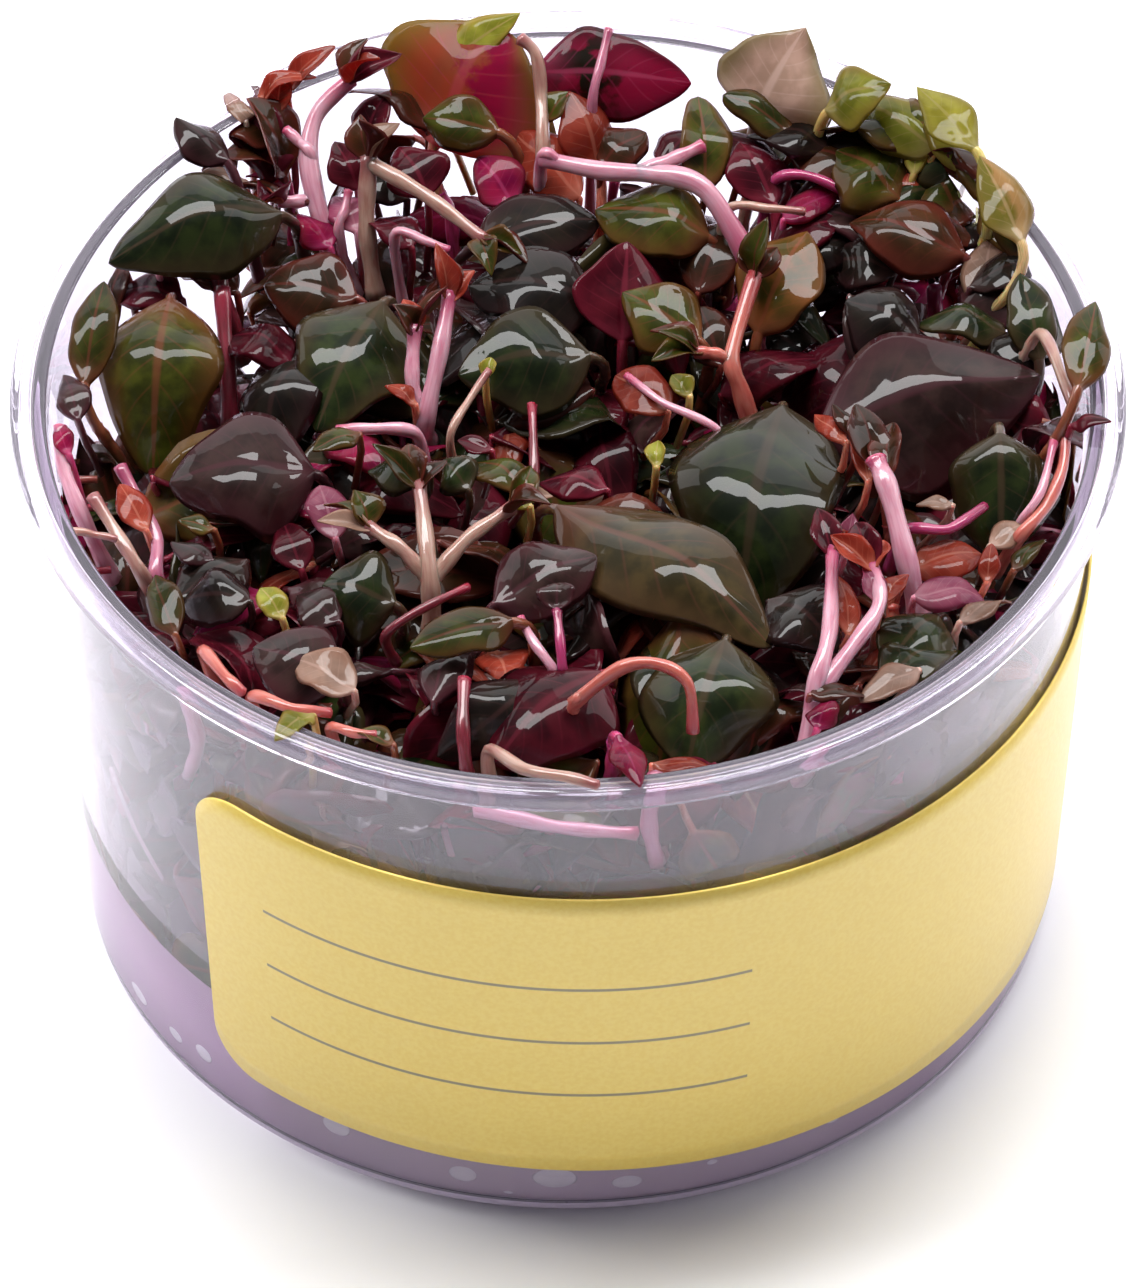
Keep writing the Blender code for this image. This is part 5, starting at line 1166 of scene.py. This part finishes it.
def ragged_margin(S, V, inner, rng):
    """Half width over the blade, with lobes and nicks, as a share of its plain half width."""
    uneven = [rng.uniform(0, ANY_PHASE) for _ in range(4)]
    lobes = np.where(V < 0, np.sin(S * 6.5 + uneven[0]), np.sin(S * 6.0 + uneven[1]))
    nicks = np.where(V < 0, np.sin(S * 17.0 + uneven[2]), np.sin(S * 15.0 + uneven[3]))
    return 1.0 + inner * (LOBE_DEPTH * lobes + NICK_DEPTH * nicks)


def uneven_face(leaf, S, V, X, inner, rng, crumple, kink):
    """Height of the blade's face over its arch: fields pillowed between the side veins, a wavy
    margin, slow crumples, and a kink where the blade bends over."""
    size = leaf.width / 10.0
    fields = FIELD_RISE * size * np.cos(2 * math.pi * SIDE_VEINS * (S - VEIN_RISE * np.abs(V)) + math.pi)
    fields *= np.clip(1.0 - np.abs(V) ** 3, 0, 1) * np.clip(np.abs(X) / 0.8, 0, 1) * np.clip(S * 6, 0, 1)
    phase_left, phase_right = rng.uniform(0, ANY_PHASE), rng.uniform(0, ANY_PHASE)
    phase = np.where(V < 0, phase_left, phase_right)
    ripple = RIPPLE * size * np.sin(S * rng.uniform(6, 10) + phase) * np.abs(V) ** 2.2 * inner
    slow = SLOW_WAVE * size * np.sin(S * 3.6 + V * 1.3 + rng.uniform(0, ANY_PHASE)) * inner
    slow += crumple * size * np.sin(S * rng.uniform(5, 8) - V * rng.uniform(1.5, 3.0) + phase_left) * inner
    skew = rng.uniform(-0.6, 0.6)
    past = (S - rng.uniform(0.4, 0.7)) * (Vector(leaf.tip) - Vector(leaf.base)).length * math.cos(skew)
    past = past + X * math.sin(skew)
    slow -= kink * rng.uniform(0.2, 1.0) * 0.5 * (past + np.sqrt(past ** 2 + KINK_SOFTNESS))
    return fields, ripple, slow


def leaf_mesh(leaf, rng, make, fineness, crumple, kink, taper, shift=BLADE_SHIFT):
    """A full leaf: round stalk, and a blade with a pressed midrib. Fineness is its share of the rows
    of a large leaf, and crumple and kink say how uneven the blade is. Gives points, faces, the points'
    places on the leaf and the face slots (upper, lower, stalk)."""
    blade_rows = max(LEAST_BLADE_ROWS, int(BLADE_ROWS * fineness))
    stalk_rows = max(LEAST_STALK_ROWS, int(STALK_ROWS * fineness))
    columns = max(LEAST_BLADE_COLUMNS, int(BLADE_COLUMNS * fineness) | 1)
    across = np.linspace(-1.0, 1.0, columns)
    even = np.linspace(0.0, 1.0, blade_rows)
    shares = 0.5 * even + 0.25 * (1.0 - np.cos(math.pi * even))
    half = leaf.width / 2.0 * blade_outline(shares, taper, shift)
    half = np.sqrt(half ** 2 + (make.stalk_radius * np.clip(1.0 - shares * 5.0, 0.0, 1.0)) ** 2)
    half = np.maximum(half, LEAST_HALF_WIDTH)
    bends = BENDS.get(leaf.name) or [rng.uniform(*bounds) for bounds in CREASE_BOUNDS]
    crest, left_crease, right_crease = bends
    frames = blade_frames(leaf, shares, crested_arch(crest))
    centre, side, normal = (np.array([tuple(frame[i]) for frame in frames]) for i in range(3))
    # S runs along the blade and V across it, X is the distance from the midrib.
    S, V = np.meshgrid(shares, across, indexing="ij")
    inner = np.clip(S * 4, 0, 1) * np.clip((1.05 - S) * 4, 0, 1)
    H = half[:, None] * ragged_margin(S, V, inner, rng)
    X = V * H
    fields, ripple, slow = uneven_face(leaf, S, V, X, inner, rng, crumple, kink)
    rib = np.exp(-(X / RIB_WIDTH) ** 2) * np.clip(1.05 - S, 0, 1)
    fall = np.where(V < 0, leaf.left * creased(-V, left_crease), leaf.right * creased(V, right_crease))
    sag = -fall * H + fields + ripple + slow
    crown = np.sqrt(np.clip(1.0 - V ** 2, 0.0, 1.0))
    foot = np.clip(1.0 - S * 6.0, 0.0, 1.0)
    half_thick = (make.thick * crown ** 0.5 + 0.02) * (1 - foot) + foot * make.stalk_radius * crown
    upper = sag + half_thick - RIB_PRESSED * rib * (1 - foot)
    lower = sag - half_thick - RIB_PROUD * rib * (1 - foot)
    grid = centre[:, None, :] + X[..., None] * side[:, None, :]
    top = grid + upper[..., None] * normal[:, None, :]
    bottom = grid + lower[..., None] * normal[:, None, :]
    stalk_top, stalk_bottom = [], []
    for spot, flat, face in stalk_frames(leaf, np.linspace(0.0, STALK_END, stalk_rows), make.stalk_bend):
        row = np.array(spot) + np.outer(across * make.stalk_radius, flat)
        lift = np.outer(make.stalk_radius * np.sqrt(np.clip(1.0 - across ** 2, 0.0, 1.0)), face)
        stalk_top.append(row + lift)
        stalk_bottom.append(row - lift)
    top = np.concatenate([np.array(stalk_top), top])
    bottom = np.concatenate([np.array(stalk_bottom), bottom])
    rows = stalk_rows + blade_rows
    around = 2 * columns - 2
    points = np.concatenate([top, bottom[:, -2:0:-1]], axis=1).reshape(-1, 3)
    place = np.zeros((rows, around, 3))
    place[..., 0] = np.concatenate([np.linspace(-1.0, -0.05, stalk_rows), shares])[:, None]
    place[..., 1] = np.concatenate([across, across[-2:0:-1]])[None, :]
    place[..., 2] = rng.random()
    row, col = np.meshgrid(np.arange(rows - 1), np.arange(around), indexing="ij")
    nxt = (col + 1) % around
    quads = np.stack([(row + 1) * around + col, (row + 1) * around + nxt, row * around + nxt,
                      row * around + col], -1)
    slots = np.where(row < stalk_rows, 2, np.where(col < columns - 1, 0, 1))
    faces = [tuple(q) for q in quads.reshape(-1, 4).tolist()]
    faces += [tuple(range(around)), tuple(range((rows - 1) * around, rows * around))[::-1]]
    return points, faces, place.reshape(-1, 3), slots.reshape(-1).tolist() + [2, 0]


def smooth_path(stops):
    """Points on a smooth curve through the stops, with the gaps halved a few times."""
    path = [Vector(s) for s in stops]
    for _ in range(PATH_ROUNDS):
        ends = [2.0 * path[0] - path[1]] + path + [2.0 * path[-1] - path[-2]]
        finer = [path[0]]
        for a, b, c, d in zip(ends, ends[1:], ends[2:], ends[3:]):
            finer += [(9.0 * (b + c) - a - d) / 16.0, c]
        path = finer
    return path


def limb_mesh(first, last, stops, sides):
    """A round limb, a little flattened, with swollen ends, closed. Gives points, faces and places."""
    path = smooth_path(stops)
    side = (path[1] - path[0]).orthogonal().normalized()
    points, faces, places = [], [], []
    count = len(path)
    for k, centre in enumerate(path):
        heading = (path[min(k + 1, count - 1)] - path[max(k - 1, 0)]).normalized()
        side = (side - heading * side.dot(heading)).normalized()
        other = side.cross(heading)
        share = k / (count - 1)
        swelling = math.exp(-(share / LIMB_ENDS[0]) ** 2) + math.exp(-((1 - share) / LIMB_ENDS[1]) ** 2)
        radius = first + (last - first) * share
        radius *= 1.0 + LIMB_SWELL * swelling
        radius *= 1.0 + LIMB_KNOBS * math.sin(share * LIMB_KNOB_PITCH + first * 40.0)
        for i in range(sides):
            turn = 2.0 * math.pi * i / sides
            wide, flat = radius * LIMB_WIDE * math.cos(turn), radius * LIMB_FLAT * math.sin(turn)
            points.append(centre + side * wide + other * flat)
            places.append((share, i / sides, 0.5))
    for k in range(count - 1):
        for i in range(sides):
            a, b = k * sides + i, k * sides + (i + 1) % sides
            faces.append((b, a, a + sides, b + sides))
    for ring, centre, lift in ((0, path[0], path[0] - path[1]), (count - 1, path[-1], path[-1] - path[-2])):
        points.append(centre + lift.normalized() * (0.5 * (first if ring == 0 else last)))
        places.append((0.0 if ring == 0 else 1.0, 0.5, 0.5))
        pole = len(points) - 1
        for i in range(sides):
            a, b = ring * sides + i, ring * sides + (i + 1) % sides
            faces.append((a, b, pole) if ring == 0 else (b, a, pole))
    return np.array([tuple(p) for p in points]), faces, places


def make_leaf(leaf, finishes):
    """One leaf of the upper layer, moved to where it settled."""
    node = "leaf_" + leaf.name
    settled = sum(np.array(corner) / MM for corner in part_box(node))
    shift = (settled - sum(plain_corners(leaf))) / 2.0
    taper, widest = OUTLINES.get(leaf.name, (BLADE_TAPER, BLADE_SHIFT))
    leaf = leaf._replace(turn=leaf.turn + TILTS.get(leaf.name, 0.0))
    rng = random.Random(leaf.name)
    points, faces, place, slots = leaf_mesh(
        leaf, rng, FULL_LEAF, fineness=1.0, crumple=0.2, kink=0.2, taper=taper, shift=widest)
    finish = finishes[leaf.name if leaf.name in OWN_TONES else leaf.tone]
    item = make_piece("blade_" + leaf.name, points + shift, faces, finish, slots, place)
    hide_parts(node)
    return item


def make_stem(stem, finish):
    """One stem of the upper layer, with its limbs grown together at the forks."""
    points, faces, places = [], [], []
    for first, last, stops in stem.limbs:
        limb, sides, spots = limb_mesh(first * LIMB_SLIMMER, last * LIMB_SLIMMER, stops, LIMB_SIDES)
        faces += [tuple(i + len(points) for i in face) for face in sides]
        points += limb.tolist()
        places += spots
    item = make_piece("grown_" + stem.name, points, faces, [finish], None, places)
    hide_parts(stem.name)
    return item


def seen(place):
    """The real place of a spot that is seen at x, y on the leafy top and lies at height z."""
    x, y, z = place
    return Vector((x, y + SEEN_SLOPE * (SEEN_LEVEL - z), z))


def keep_in_cup(points, margin=0.45):
    """Press what would pass through the wall against its inside."""
    radius = np.hypot(points[:, 0], points[:, 1])
    limit = wall_radius(np.minimum(points[:, 2], 60.0)) - WALL - margin
    inside = points[:, 2] < CUP_HEIGHT - 0.6
    scale = np.where(inside & (radius > limit), limit / np.maximum(radius, 1e-6), 1.0)
    return points * np.stack([scale, scale, np.ones(len(scale))], 1)


def leafy_top(x, y):
    """Height of the leafy top of the lower shoots at a place: it sinks to the back and left, has a hollow in
    the middle, and climbs to the rim at the right of the back."""
    back = max(0.0, y - BACK_START) * BACK_FALL
    left = max(0.0, -x - LEFT_START) * LEFT_FALL
    right_corner = max(0.0, x + y - RIGHT_CORNER_START) * RIGHT_CORNER_RISE
    left_corner = max(0.0, y - x - LEFT_CORNER_START) * LEFT_CORNER_RISE
    off = (x - HOLLOW_MIDDLE[0]) ** 2 + (y - HOLLOW_MIDDLE[1]) ** 2
    hollow = HOLLOW_DEPTH * math.exp(-off / HOLLOW_SPREAD)
    return LEAFY_TOP - back - left - hollow + (right_corner + left_corner)


def rooted(foot):
    """A spot under a stalk's foot and a little towards the middle, among the lower shoots."""
    depth = max(5.0, foot.z - leafy_top(foot.x, foot.y) + 4.0)
    return Vector((foot.x * 0.95, foot.y * 0.95, foot.z - depth))


def in_open_spot(points):
    """True where a leaf would close one of the open spots."""
    seen_y = points[:, 1] - SEEN_SLOPE * (SEEN_LEVEL - points[:, 2])
    for x_low, x_high, y_low, y_high in OPEN_SPOTS:
        across = (points[:, 0] > x_low) & (points[:, 0] < x_high)
        if np.any(across & (seen_y > y_low) & (seen_y < y_high)):
            return True
    return False


def hides_upper(points, upper):
    """True where a leaf would cover upper leaves or stalks in the photograph's view."""
    samples = points[::max(1, len(points) // HIDE_SAMPLES)]
    hits = sum(upper.ray_cast(Vector(spot), SIGHT_LINE, HIDE_REACH)[0] is not None for spot in samples)
    return hits > HIDE_SHARE * len(samples)


class Crowd:
    """Many small leaves and stalks in the finishes of the leaves, joined in one mesh for each
    quarter of the cup."""

    def __init__(self, leaf_finishes, stem_finishes):
        self.leaf_finishes, self.stem_finishes = leaf_finishes, stem_finishes
        parts = ("points", "faces", "slots", "places", "finishes")
        self.quarters = [{part: [] for part in parts} for _ in CLUMPS]
        self.upper = None

    def add(self, points, faces, places, finishes, slots):
        """Join one more leaf or stalk to the quarter that it stands in."""
        x, y = points[:, :2].mean(0)
        quarter = self.quarters[int((math.degrees(math.atan2(y, x)) - 45.0) % 360.0 // 90.0)]
        known = quarter["finishes"]
        known += [finish for finish in finishes if finish not in known]
        use = [known.index(finish) for finish in finishes]
        start = sum(len(part) for part in quarter["points"])
        quarter["faces"] += [tuple(i + start for i in face) for face in faces]
        quarter["slots"] += [use[s] for s in slots]
        quarter["points"].append(points)
        quarter["places"].append(places)

    def add_leaf(self, leaf, rng, fineness, crumple, kink, taper):
        """A small leaf, kept in the cup."""
        points, faces, place, slots = leaf_mesh(leaf, rng, SMALL_LEAF, fineness, crumple, kink, taper)
        self.add(keep_in_cup(points), faces, place, self.leaf_finishes[leaf.tone], slots)

    def add_stalk(self, radius, stops, finish, sides=FINE_STALK_SIDES):
        """A fine stalk, kept in the cup."""
        points, faces, places = limb_mesh(radius, radius * STALK_TAPER, stops, sides)
        self.add(keep_in_cup(points), faces, np.array(places), [finish], [0] * len(faces))

    def try_leaf(self, leaf, rng, margin, fineness, crumple=0.25):
        """Add a lower leaf at this margin from the wall or more, unless it would cut or hide an upper
        leaf or close an open spot."""
        taper = rng.uniform(*SMALL_TAPER)
        points, faces, place, slots = leaf_mesh(leaf, rng, SMALL_LEAF, fineness, crumple, SMALL_KINK, taper)
        points = keep_in_cup(points, margin)
        if in_open_spot(points) or hides_upper(points, self.upper):
            return False
        if BVHTree.FromPolygons(points.tolist(), faces).overlap(self.upper):
            return False
        self.add(points, faces, place, self.leaf_finishes[leaf.tone], slots)
        return True

    def keep_clear_of(self, items):
        """From now on, lower leaves keep clear of these pieces and of the crowd so far."""
        points, faces = [], []
        for quarter in self.quarters:
            start = len(points)
            points += [tuple(spot) for part in quarter["points"] for spot in part]
            faces += [tuple(i + start for i in face) for face in quarter["faces"]]
        for item in items:
            start = len(points)
            points += [tuple(v.co / MM) for v in item.data.vertices]
            faces += [tuple(i + start for i in polygon.vertices) for polygon in item.data.polygons]
        self.upper = BVHTree.FromPolygons(points, faces)

    def make(self):
        """The four pieces."""
        made = []
        for node, quarter in zip(CLUMPS, self.quarters):
            item = make_piece("small_" + node, np.concatenate(quarter["points"]), quarter["faces"],
                              quarter["finishes"], quarter["slots"], np.concatenate(quarter["places"]))
            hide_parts(node)
            made.append(item)
        return made


def add_upper_small(crowd):
    """The small leaves and fine stalks that show one by one in the upper layer."""
    rng = random.Random("upper small leaves")
    for base, tip, width, tone, arch, turn, droop in SMALL_LEAVES:
        foot, point = seen(base), seen(tip)
        root = rooted(foot.lerp(point, 0.35) - UP * 1.5)
        leaf = Leaf("", root, foot, point, width, arch, turn, rng.uniform(-35, 35),
                    droop + rng.uniform(-0.25, 0.4), droop + rng.uniform(-0.25, 0.4), tone)
        taper = rng.uniform(*SMALL_TAPER)
        crowd.add_leaf(leaf, rng, fineness=0.62, crumple=0.15, kink=1.0, taper=taper)
    for radius, tone, stops in FINE_STALKS:
        path = [seen(s) for s in stops]
        if path[-1].z < path[0].z:
            path.reverse()
        crowd.add_stalk(radius * 0.9, [rooted(path[0])] + path, crowd.stem_finishes[tone])
    for radius, tone, stops in WALL_STALKS:
        crowd.add_stalk(radius, stops, crowd.stem_finishes[tone])


def add_tufts(crowd):
    """Young folded leaves on the stems' tips."""
    rng = random.Random("tufts")
    growing = [(stem, limb) for stem in STEMS if stem.name not in CUT_STEMS for limb in stem.limbs]
    for stem, (first, last, stops) in growing:
        tip, before = Vector(stops[-1]), Vector(stops[-2])
        heading = (tip - before).normalized()
        for k in range(TUFT_LEAVES):
            turn = k * 2.1 + rng.uniform(-0.3, 0.3)
            aside = Vector((math.cos(turn), math.sin(turn), 0.35))
            base = tip - heading * rng.uniform(0.2, 1.0)
            way = (heading * 1.2 + aside * rng.uniform(0.5, 1.0)).normalized()
            point = base + way * rng.uniform(*TUFT_LENGTHS)
            leaf = Leaf("", base - heading * 2.0, base, point, rng.uniform(2.0, 3.4), 0.5,
                        rng.uniform(-40, 40), rng.uniform(-40, 40), rng.uniform(-0.9, -0.2),
                        rng.uniform(-0.9, -0.2), rng.choice(TUFT_TONES[stem.tone]))
            crowd.add_leaf(leaf, rng, fineness=0.45, crumple=0.2, kink=0.5, taper=0.8)


def add_feet(crowd):
    """The stalks of the upper leaves and stems, on down to the shoots that they grow from."""
    for leaf in LEAVES:
        frames = stalk_frames(leaf, (0.0, 0.25))
        foot, above = frames[0][0], frames[1][0]
        crowd.add_stalk(STALK_RADIUS, [rooted(foot), foot, above], crowd.leaf_finishes[leaf.tone][2])
    for stem in STEMS:
        first, last, stops = stem.limbs[0]
        foot, above = Vector(stops[0]), Vector(stops[1])
        path = [rooted(foot), foot, foot.lerp(above, 0.3)]
        crowd.add_stalk(first * 0.85, path, crowd.stem_finishes[stem.tone])


def scattered(rng, rows, spacing, jitter):
    """Places in staggered rows over the cup, each moved a little at random."""
    for row in range(-rows, rows + 1):
        for column in range(-rows, rows + 1):
            x = (column + 0.5 * (row % 2)) * spacing + rng.uniform(-jitter, jitter)
            yield x, row * spacing * ROW_PITCH + rng.uniform(-jitter, jitter)


def add_canopy(crowd):
    """The leaves that close the leafy top between the upper leaves, one over another."""
    rng = random.Random("canopy")
    for x, y in scattered(rng, CANOPY_ROWS, CANOPY_SPACING, CANOPY_JITTER):
        if math.hypot(x, y) > (CANOPY_CORNER_REACH if min(x, y) > 8.0 else CANOPY_REACH):
            continue
        turn, length = rng.uniform(0, 2 * math.pi), rng.uniform(*CANOPY_LENGTHS)
        tilt, tone = rng.uniform(-0.7, 0.6), rng.choice(CANOPY_TONES)
        width = length * rng.uniform(0.45, 0.68)
        arch, roll, twist = rng.uniform(-0.5, 2.6), rng.uniform(-40, 40), rng.uniform(-45, 45)
        left, right = rng.uniform(-0.5, 0.8), rng.uniform(-0.5, 0.8)
        z = leafy_top(x, y) + rng.uniform(-2.5, 3.0)
        heading = Vector((math.cos(turn), math.sin(turn), tilt)).normalized()
        for lower in CANOPY_LAYERS:
            middle = Vector((x, y, z - lower))
            base, tip = middle - heading * (length / 2.0), middle + heading * (length / 2.0)
            root = base + heading * 2.0 - UP * 4.0
            leaf = Leaf("", root, base, tip, width, arch, roll, twist, left, right, tone)
            if crowd.try_leaf(leaf, rng, margin=rng.uniform(0.3, 0.8), fineness=0.5):
                break


def add_wall_leaves(crowd):
    """Leaves pressed flat against the inside of the wall."""
    rng = random.Random("wall leaves")
    for level in range(WALL_LEVELS):
        for step in range(WALL_STEPS):
            angle = 2.0 * math.pi * (step + 0.5 * (level % 2)) / WALL_STEPS + rng.uniform(-0.09, 0.09)
            z = WALL_LOW + WALL_PITCH * level + rng.uniform(-2.5, 2.5)
            radius = wall_radius(z) - WALL - 0.8
            out = Vector((math.cos(angle), math.sin(angle), 0.0))
            aside = Vector((-math.sin(angle), math.cos(angle), 0.0))
            lean = rng.uniform(0, 2 * math.pi)
            heading = (aside * math.cos(lean) + UP * math.sin(lean)).normalized()
            length = rng.uniform(*WALL_LENGTHS)
            middle = out * radius + UP * z
            base, tip = middle - heading * (length / 2.0), middle + heading * (length / 2.0)
            highest = leafy_top(middle.x, middle.y) + 3.0
            if min(base.z, tip.z) < WALL_LOWEST or max(base.z, tip.z) > highest:
                continue
            root = base - heading - out * 3.0
            leaf = Leaf("", root, base, tip, length * rng.uniform(0.5, 0.7), 0.5, 90.0 + rng.uniform(-12, 12),
                        0.0, 0.1, 0.1, rng.choice(WALL_TONES))
            crowd.try_leaf(leaf, rng, margin=rng.uniform(0.3, 0.6), fineness=0.42, crumple=0.2)


def add_shoot_leaf(crowd, rng, spot, turn, length, tone, rise):
    """One leaf of a lower shoot, where there is room for it."""
    out = Vector((math.cos(turn), math.sin(turn), 0.0))
    stalk = rng.uniform(1.5, 3.5)
    lift = rng.uniform(0.1, rise)
    base = spot + (out + UP * lift).normalized() * stalk
    heading = (out + UP * (lift - 0.25)).normalized()
    tip = base + heading * length
    leaf = Leaf("", spot, base, tip, length * rng.uniform(0.45, 0.65), length * rng.uniform(0.05, 0.2),
                rng.uniform(-30, 30), rng.uniform(-30, 30), rng.uniform(-0.4, 0.6), rng.uniform(-0.4, 0.6),
                tone)
    crowd.try_leaf(leaf, rng, margin=rng.uniform(0.3, 1.2), fineness=0.36)


def add_lower_shoots(crowd):
    """The crowd of small shoots that fills the cup: stems that rise from the gel, with pairs of
    leaves at their joints and a tuft on top. What would cut an upper leaf is left off."""
    rng = random.Random("lower shoots")
    for x, y in scattered(rng, SHOOT_ROWS, SHOOT_SPACING, SHOOT_JITTER):
        reach = math.hypot(x, y)
        if reach > SHOOT_REACH:
            continue
        top = leafy_top(x, y) - rng.uniform(4.0, 10.0)
        foot = Vector((x * 0.93, y * 0.93, GEL_TOP - rng.uniform(1.0, 7.0)))
        lean = Vector((rng.uniform(-4, 4), rng.uniform(-4, 4), 0.0))
        head = Vector((x, y, top)) + lean * 0.6
        middle = foot.lerp(head, 0.5) + lean
        path = smooth_path([foot, middle, head])
        finish = crowd.stem_finishes[rng.choice(SHOOT_STEM_TONES)]
        crowd.add_stalk(rng.uniform(0.6, 1.0), [foot, middle, head], finish)
        turn = rng.uniform(0, math.pi)
        # Shoots near the wall bear leaves from lower down.
        joint = rng.uniform(0.22, 0.34) if reach > NEAR_WALL else rng.uniform(0.62, 0.75)
        while joint < 1.0:
            spot = path[min(int(joint * (len(path) - 1)), len(path) - 1)]
            for half_turn in (0.0, math.pi):
                add_shoot_leaf(crowd, rng, spot, turn + half_turn + rng.uniform(-0.3, 0.3),
                               rng.uniform(*SHOOT_LENGTHS), rng.choice(SHOOT_TONES), rise=0.5)
            turn += math.pi / 2.0
            joint += rng.uniform(0.11, 0.17)
        for k in range(SHOOT_TOP_LEAVES):
            add_shoot_leaf(crowd, rng, head, turn + k * 2.4, rng.uniform(*SHOOT_TOP_LENGTHS),
                           rng.choice(SHOOT_TONES), rise=0.9)


def add_roots(crowd):
    """Pale roots and the feet of stems in the gel, most of them near the wall."""
    rng = random.Random("roots in the gel")
    for _ in range(ROOTS):
        angle, depth = rng.uniform(0, 2 * math.pi), rng.uniform(0.8, 5.0)
        z = rng.uniform(9.0, 19.0)
        stops = []
        for _ in range(ROOT_STOPS):
            radius = wall_radius(max(z, 4.0)) - WALL - 0.6 - depth - max(0.0, 4.5 - z)
            stops.append(Vector((radius * math.cos(angle), radius * math.sin(angle), max(z, 2.3))))
            angle += rng.uniform(-0.09, 0.09)
            z -= rng.uniform(1.2, 4.0)
            depth = max(0.3, depth + rng.uniform(-1.5, 1.0))
        finish = crowd.stem_finishes[rng.choice(ROOT_TONES)]
        crowd.add_stalk(rng.uniform(0.2, 0.8), stops, finish, ROOT_SIDES)


def soft_light(name, place, size, power):
    """A large soft box that faces the cup, in metres and watts."""
    lamp = bpy.data.lights.new(name, "AREA")
    lamp.shape = "RECTANGLE"
    lamp.size, lamp.size_y = size
    lamp.energy = power
    item = bpy.data.objects.new(name, lamp)
    item.location = place
    item.rotation_euler = (CUP_MIDDLE - Vector(place)).to_track_quat("-Z", "Y").to_euler()
    item.visible_camera = False
    bpy.context.scene.collection.objects.link(item)


def make_stage():
    """White floor, soft boxes and a pale surround that is brighter at the back."""
    half = FLOOR_SIZE / 2.0 / MM
    corners = [(-half, -half, 0), (half, -half, 0), (half, half, 0), (-half, half, 0)]
    make_piece("studio_floor", corners, [(0, 1, 2, 3)], [floor_material()])
    for box in SOFT_BOXES:
        soft_light(*box)
    world = bpy.data.worlds.new("pale_surround")
    bpy.context.scene.world = world
    world.use_nodes = True
    tree = world.node_tree
    sky = tree.nodes["Background"]
    sky.inputs["Color"].default_value = linear("#f4f5fa")
    heading = add(tree, "ShaderNodeTexCoord").outputs["Generated"]
    back = add(tree, "ShaderNodeSeparateXYZ", {"Vector": heading}).outputs["Y"]
    low, high = SURROUND_STRENGTH
    glow = add(tree, "ShaderNodeMapRange", {
        "Value": back, "From Min": -0.1, "From Max": 0.9, "To Min": low, "To Max": high}, **SMOOTH)
    tree.links.new(glow.outputs["Result"], sky.inputs["Strength"])


def make_camera():
    """The photograph's view: straight from the front, well above."""
    lens = bpy.data.cameras.new("front_view")
    lens.lens = CAMERA_LENS
    lens.sensor_width = CAMERA_FRAME
    lens.clip_start = 0.01
    camera = bpy.data.objects.new("front_view", lens)
    tilt = math.radians(CAMERA_ELEVATION)
    camera.location = CAMERA_TARGET + Vector((0.0, -math.cos(tilt), math.sin(tilt))) * CAMERA_DISTANCE
    camera.rotation_euler = (math.pi / 2.0 - tilt, 0.0, 0.0)
    bpy.context.scene.collection.objects.link(camera)
    bpy.context.scene.camera = camera


def make_leaf_finishes():
    """For each kind of leaf, the finishes of its upper side, its underside and its stalk."""
    finishes = {}
    for tone, colours in (*LEAF_TONES.items(), *OWN_TONES.items()):
        finishes[tone] = [
            leaf_material("wet_leaf_%s_upper" % tone, colours, False),
            leaf_material("wet_leaf_%s_underside" % tone, colours, True),
            stem_material("fleshy_stalk_of_%s_leaf" % tone, (colours.vein, colours.margin, colours.under)),
        ]
    return finishes


def build():
    """Make every piece, the upper layer first, because the crowd keeps clear of it."""
    leaf_finishes = make_leaf_finishes()
    stem_finishes = {}
    for tone, colours in STEM_TONES.items():
        stem_finishes[tone] = stem_material("fleshy_stem_" + tone, colours)
    pieces = [make_cup(), make_gel(), make_label()]
    grown = [make_leaf(leaf, leaf_finishes) for leaf in LEAVES]
    grown += [make_stem(stem, stem_finishes[stem.tone]) for stem in STEMS]
    crowd = Crowd(leaf_finishes, stem_finishes)
    add_upper_small(crowd)
    add_tufts(crowd)
    crowd.keep_clear_of(grown)
    add_feet(crowd)
    add_canopy(crowd)
    add_wall_leaves(crowd)
    add_lower_shoots(crowd)
    add_roots(crowd)
    for item in pieces + grown + crowd.make():
        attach(item, "root")


build()
make_stage()
make_camera()
bpy.context.scene.view_settings.view_transform = "Standard"
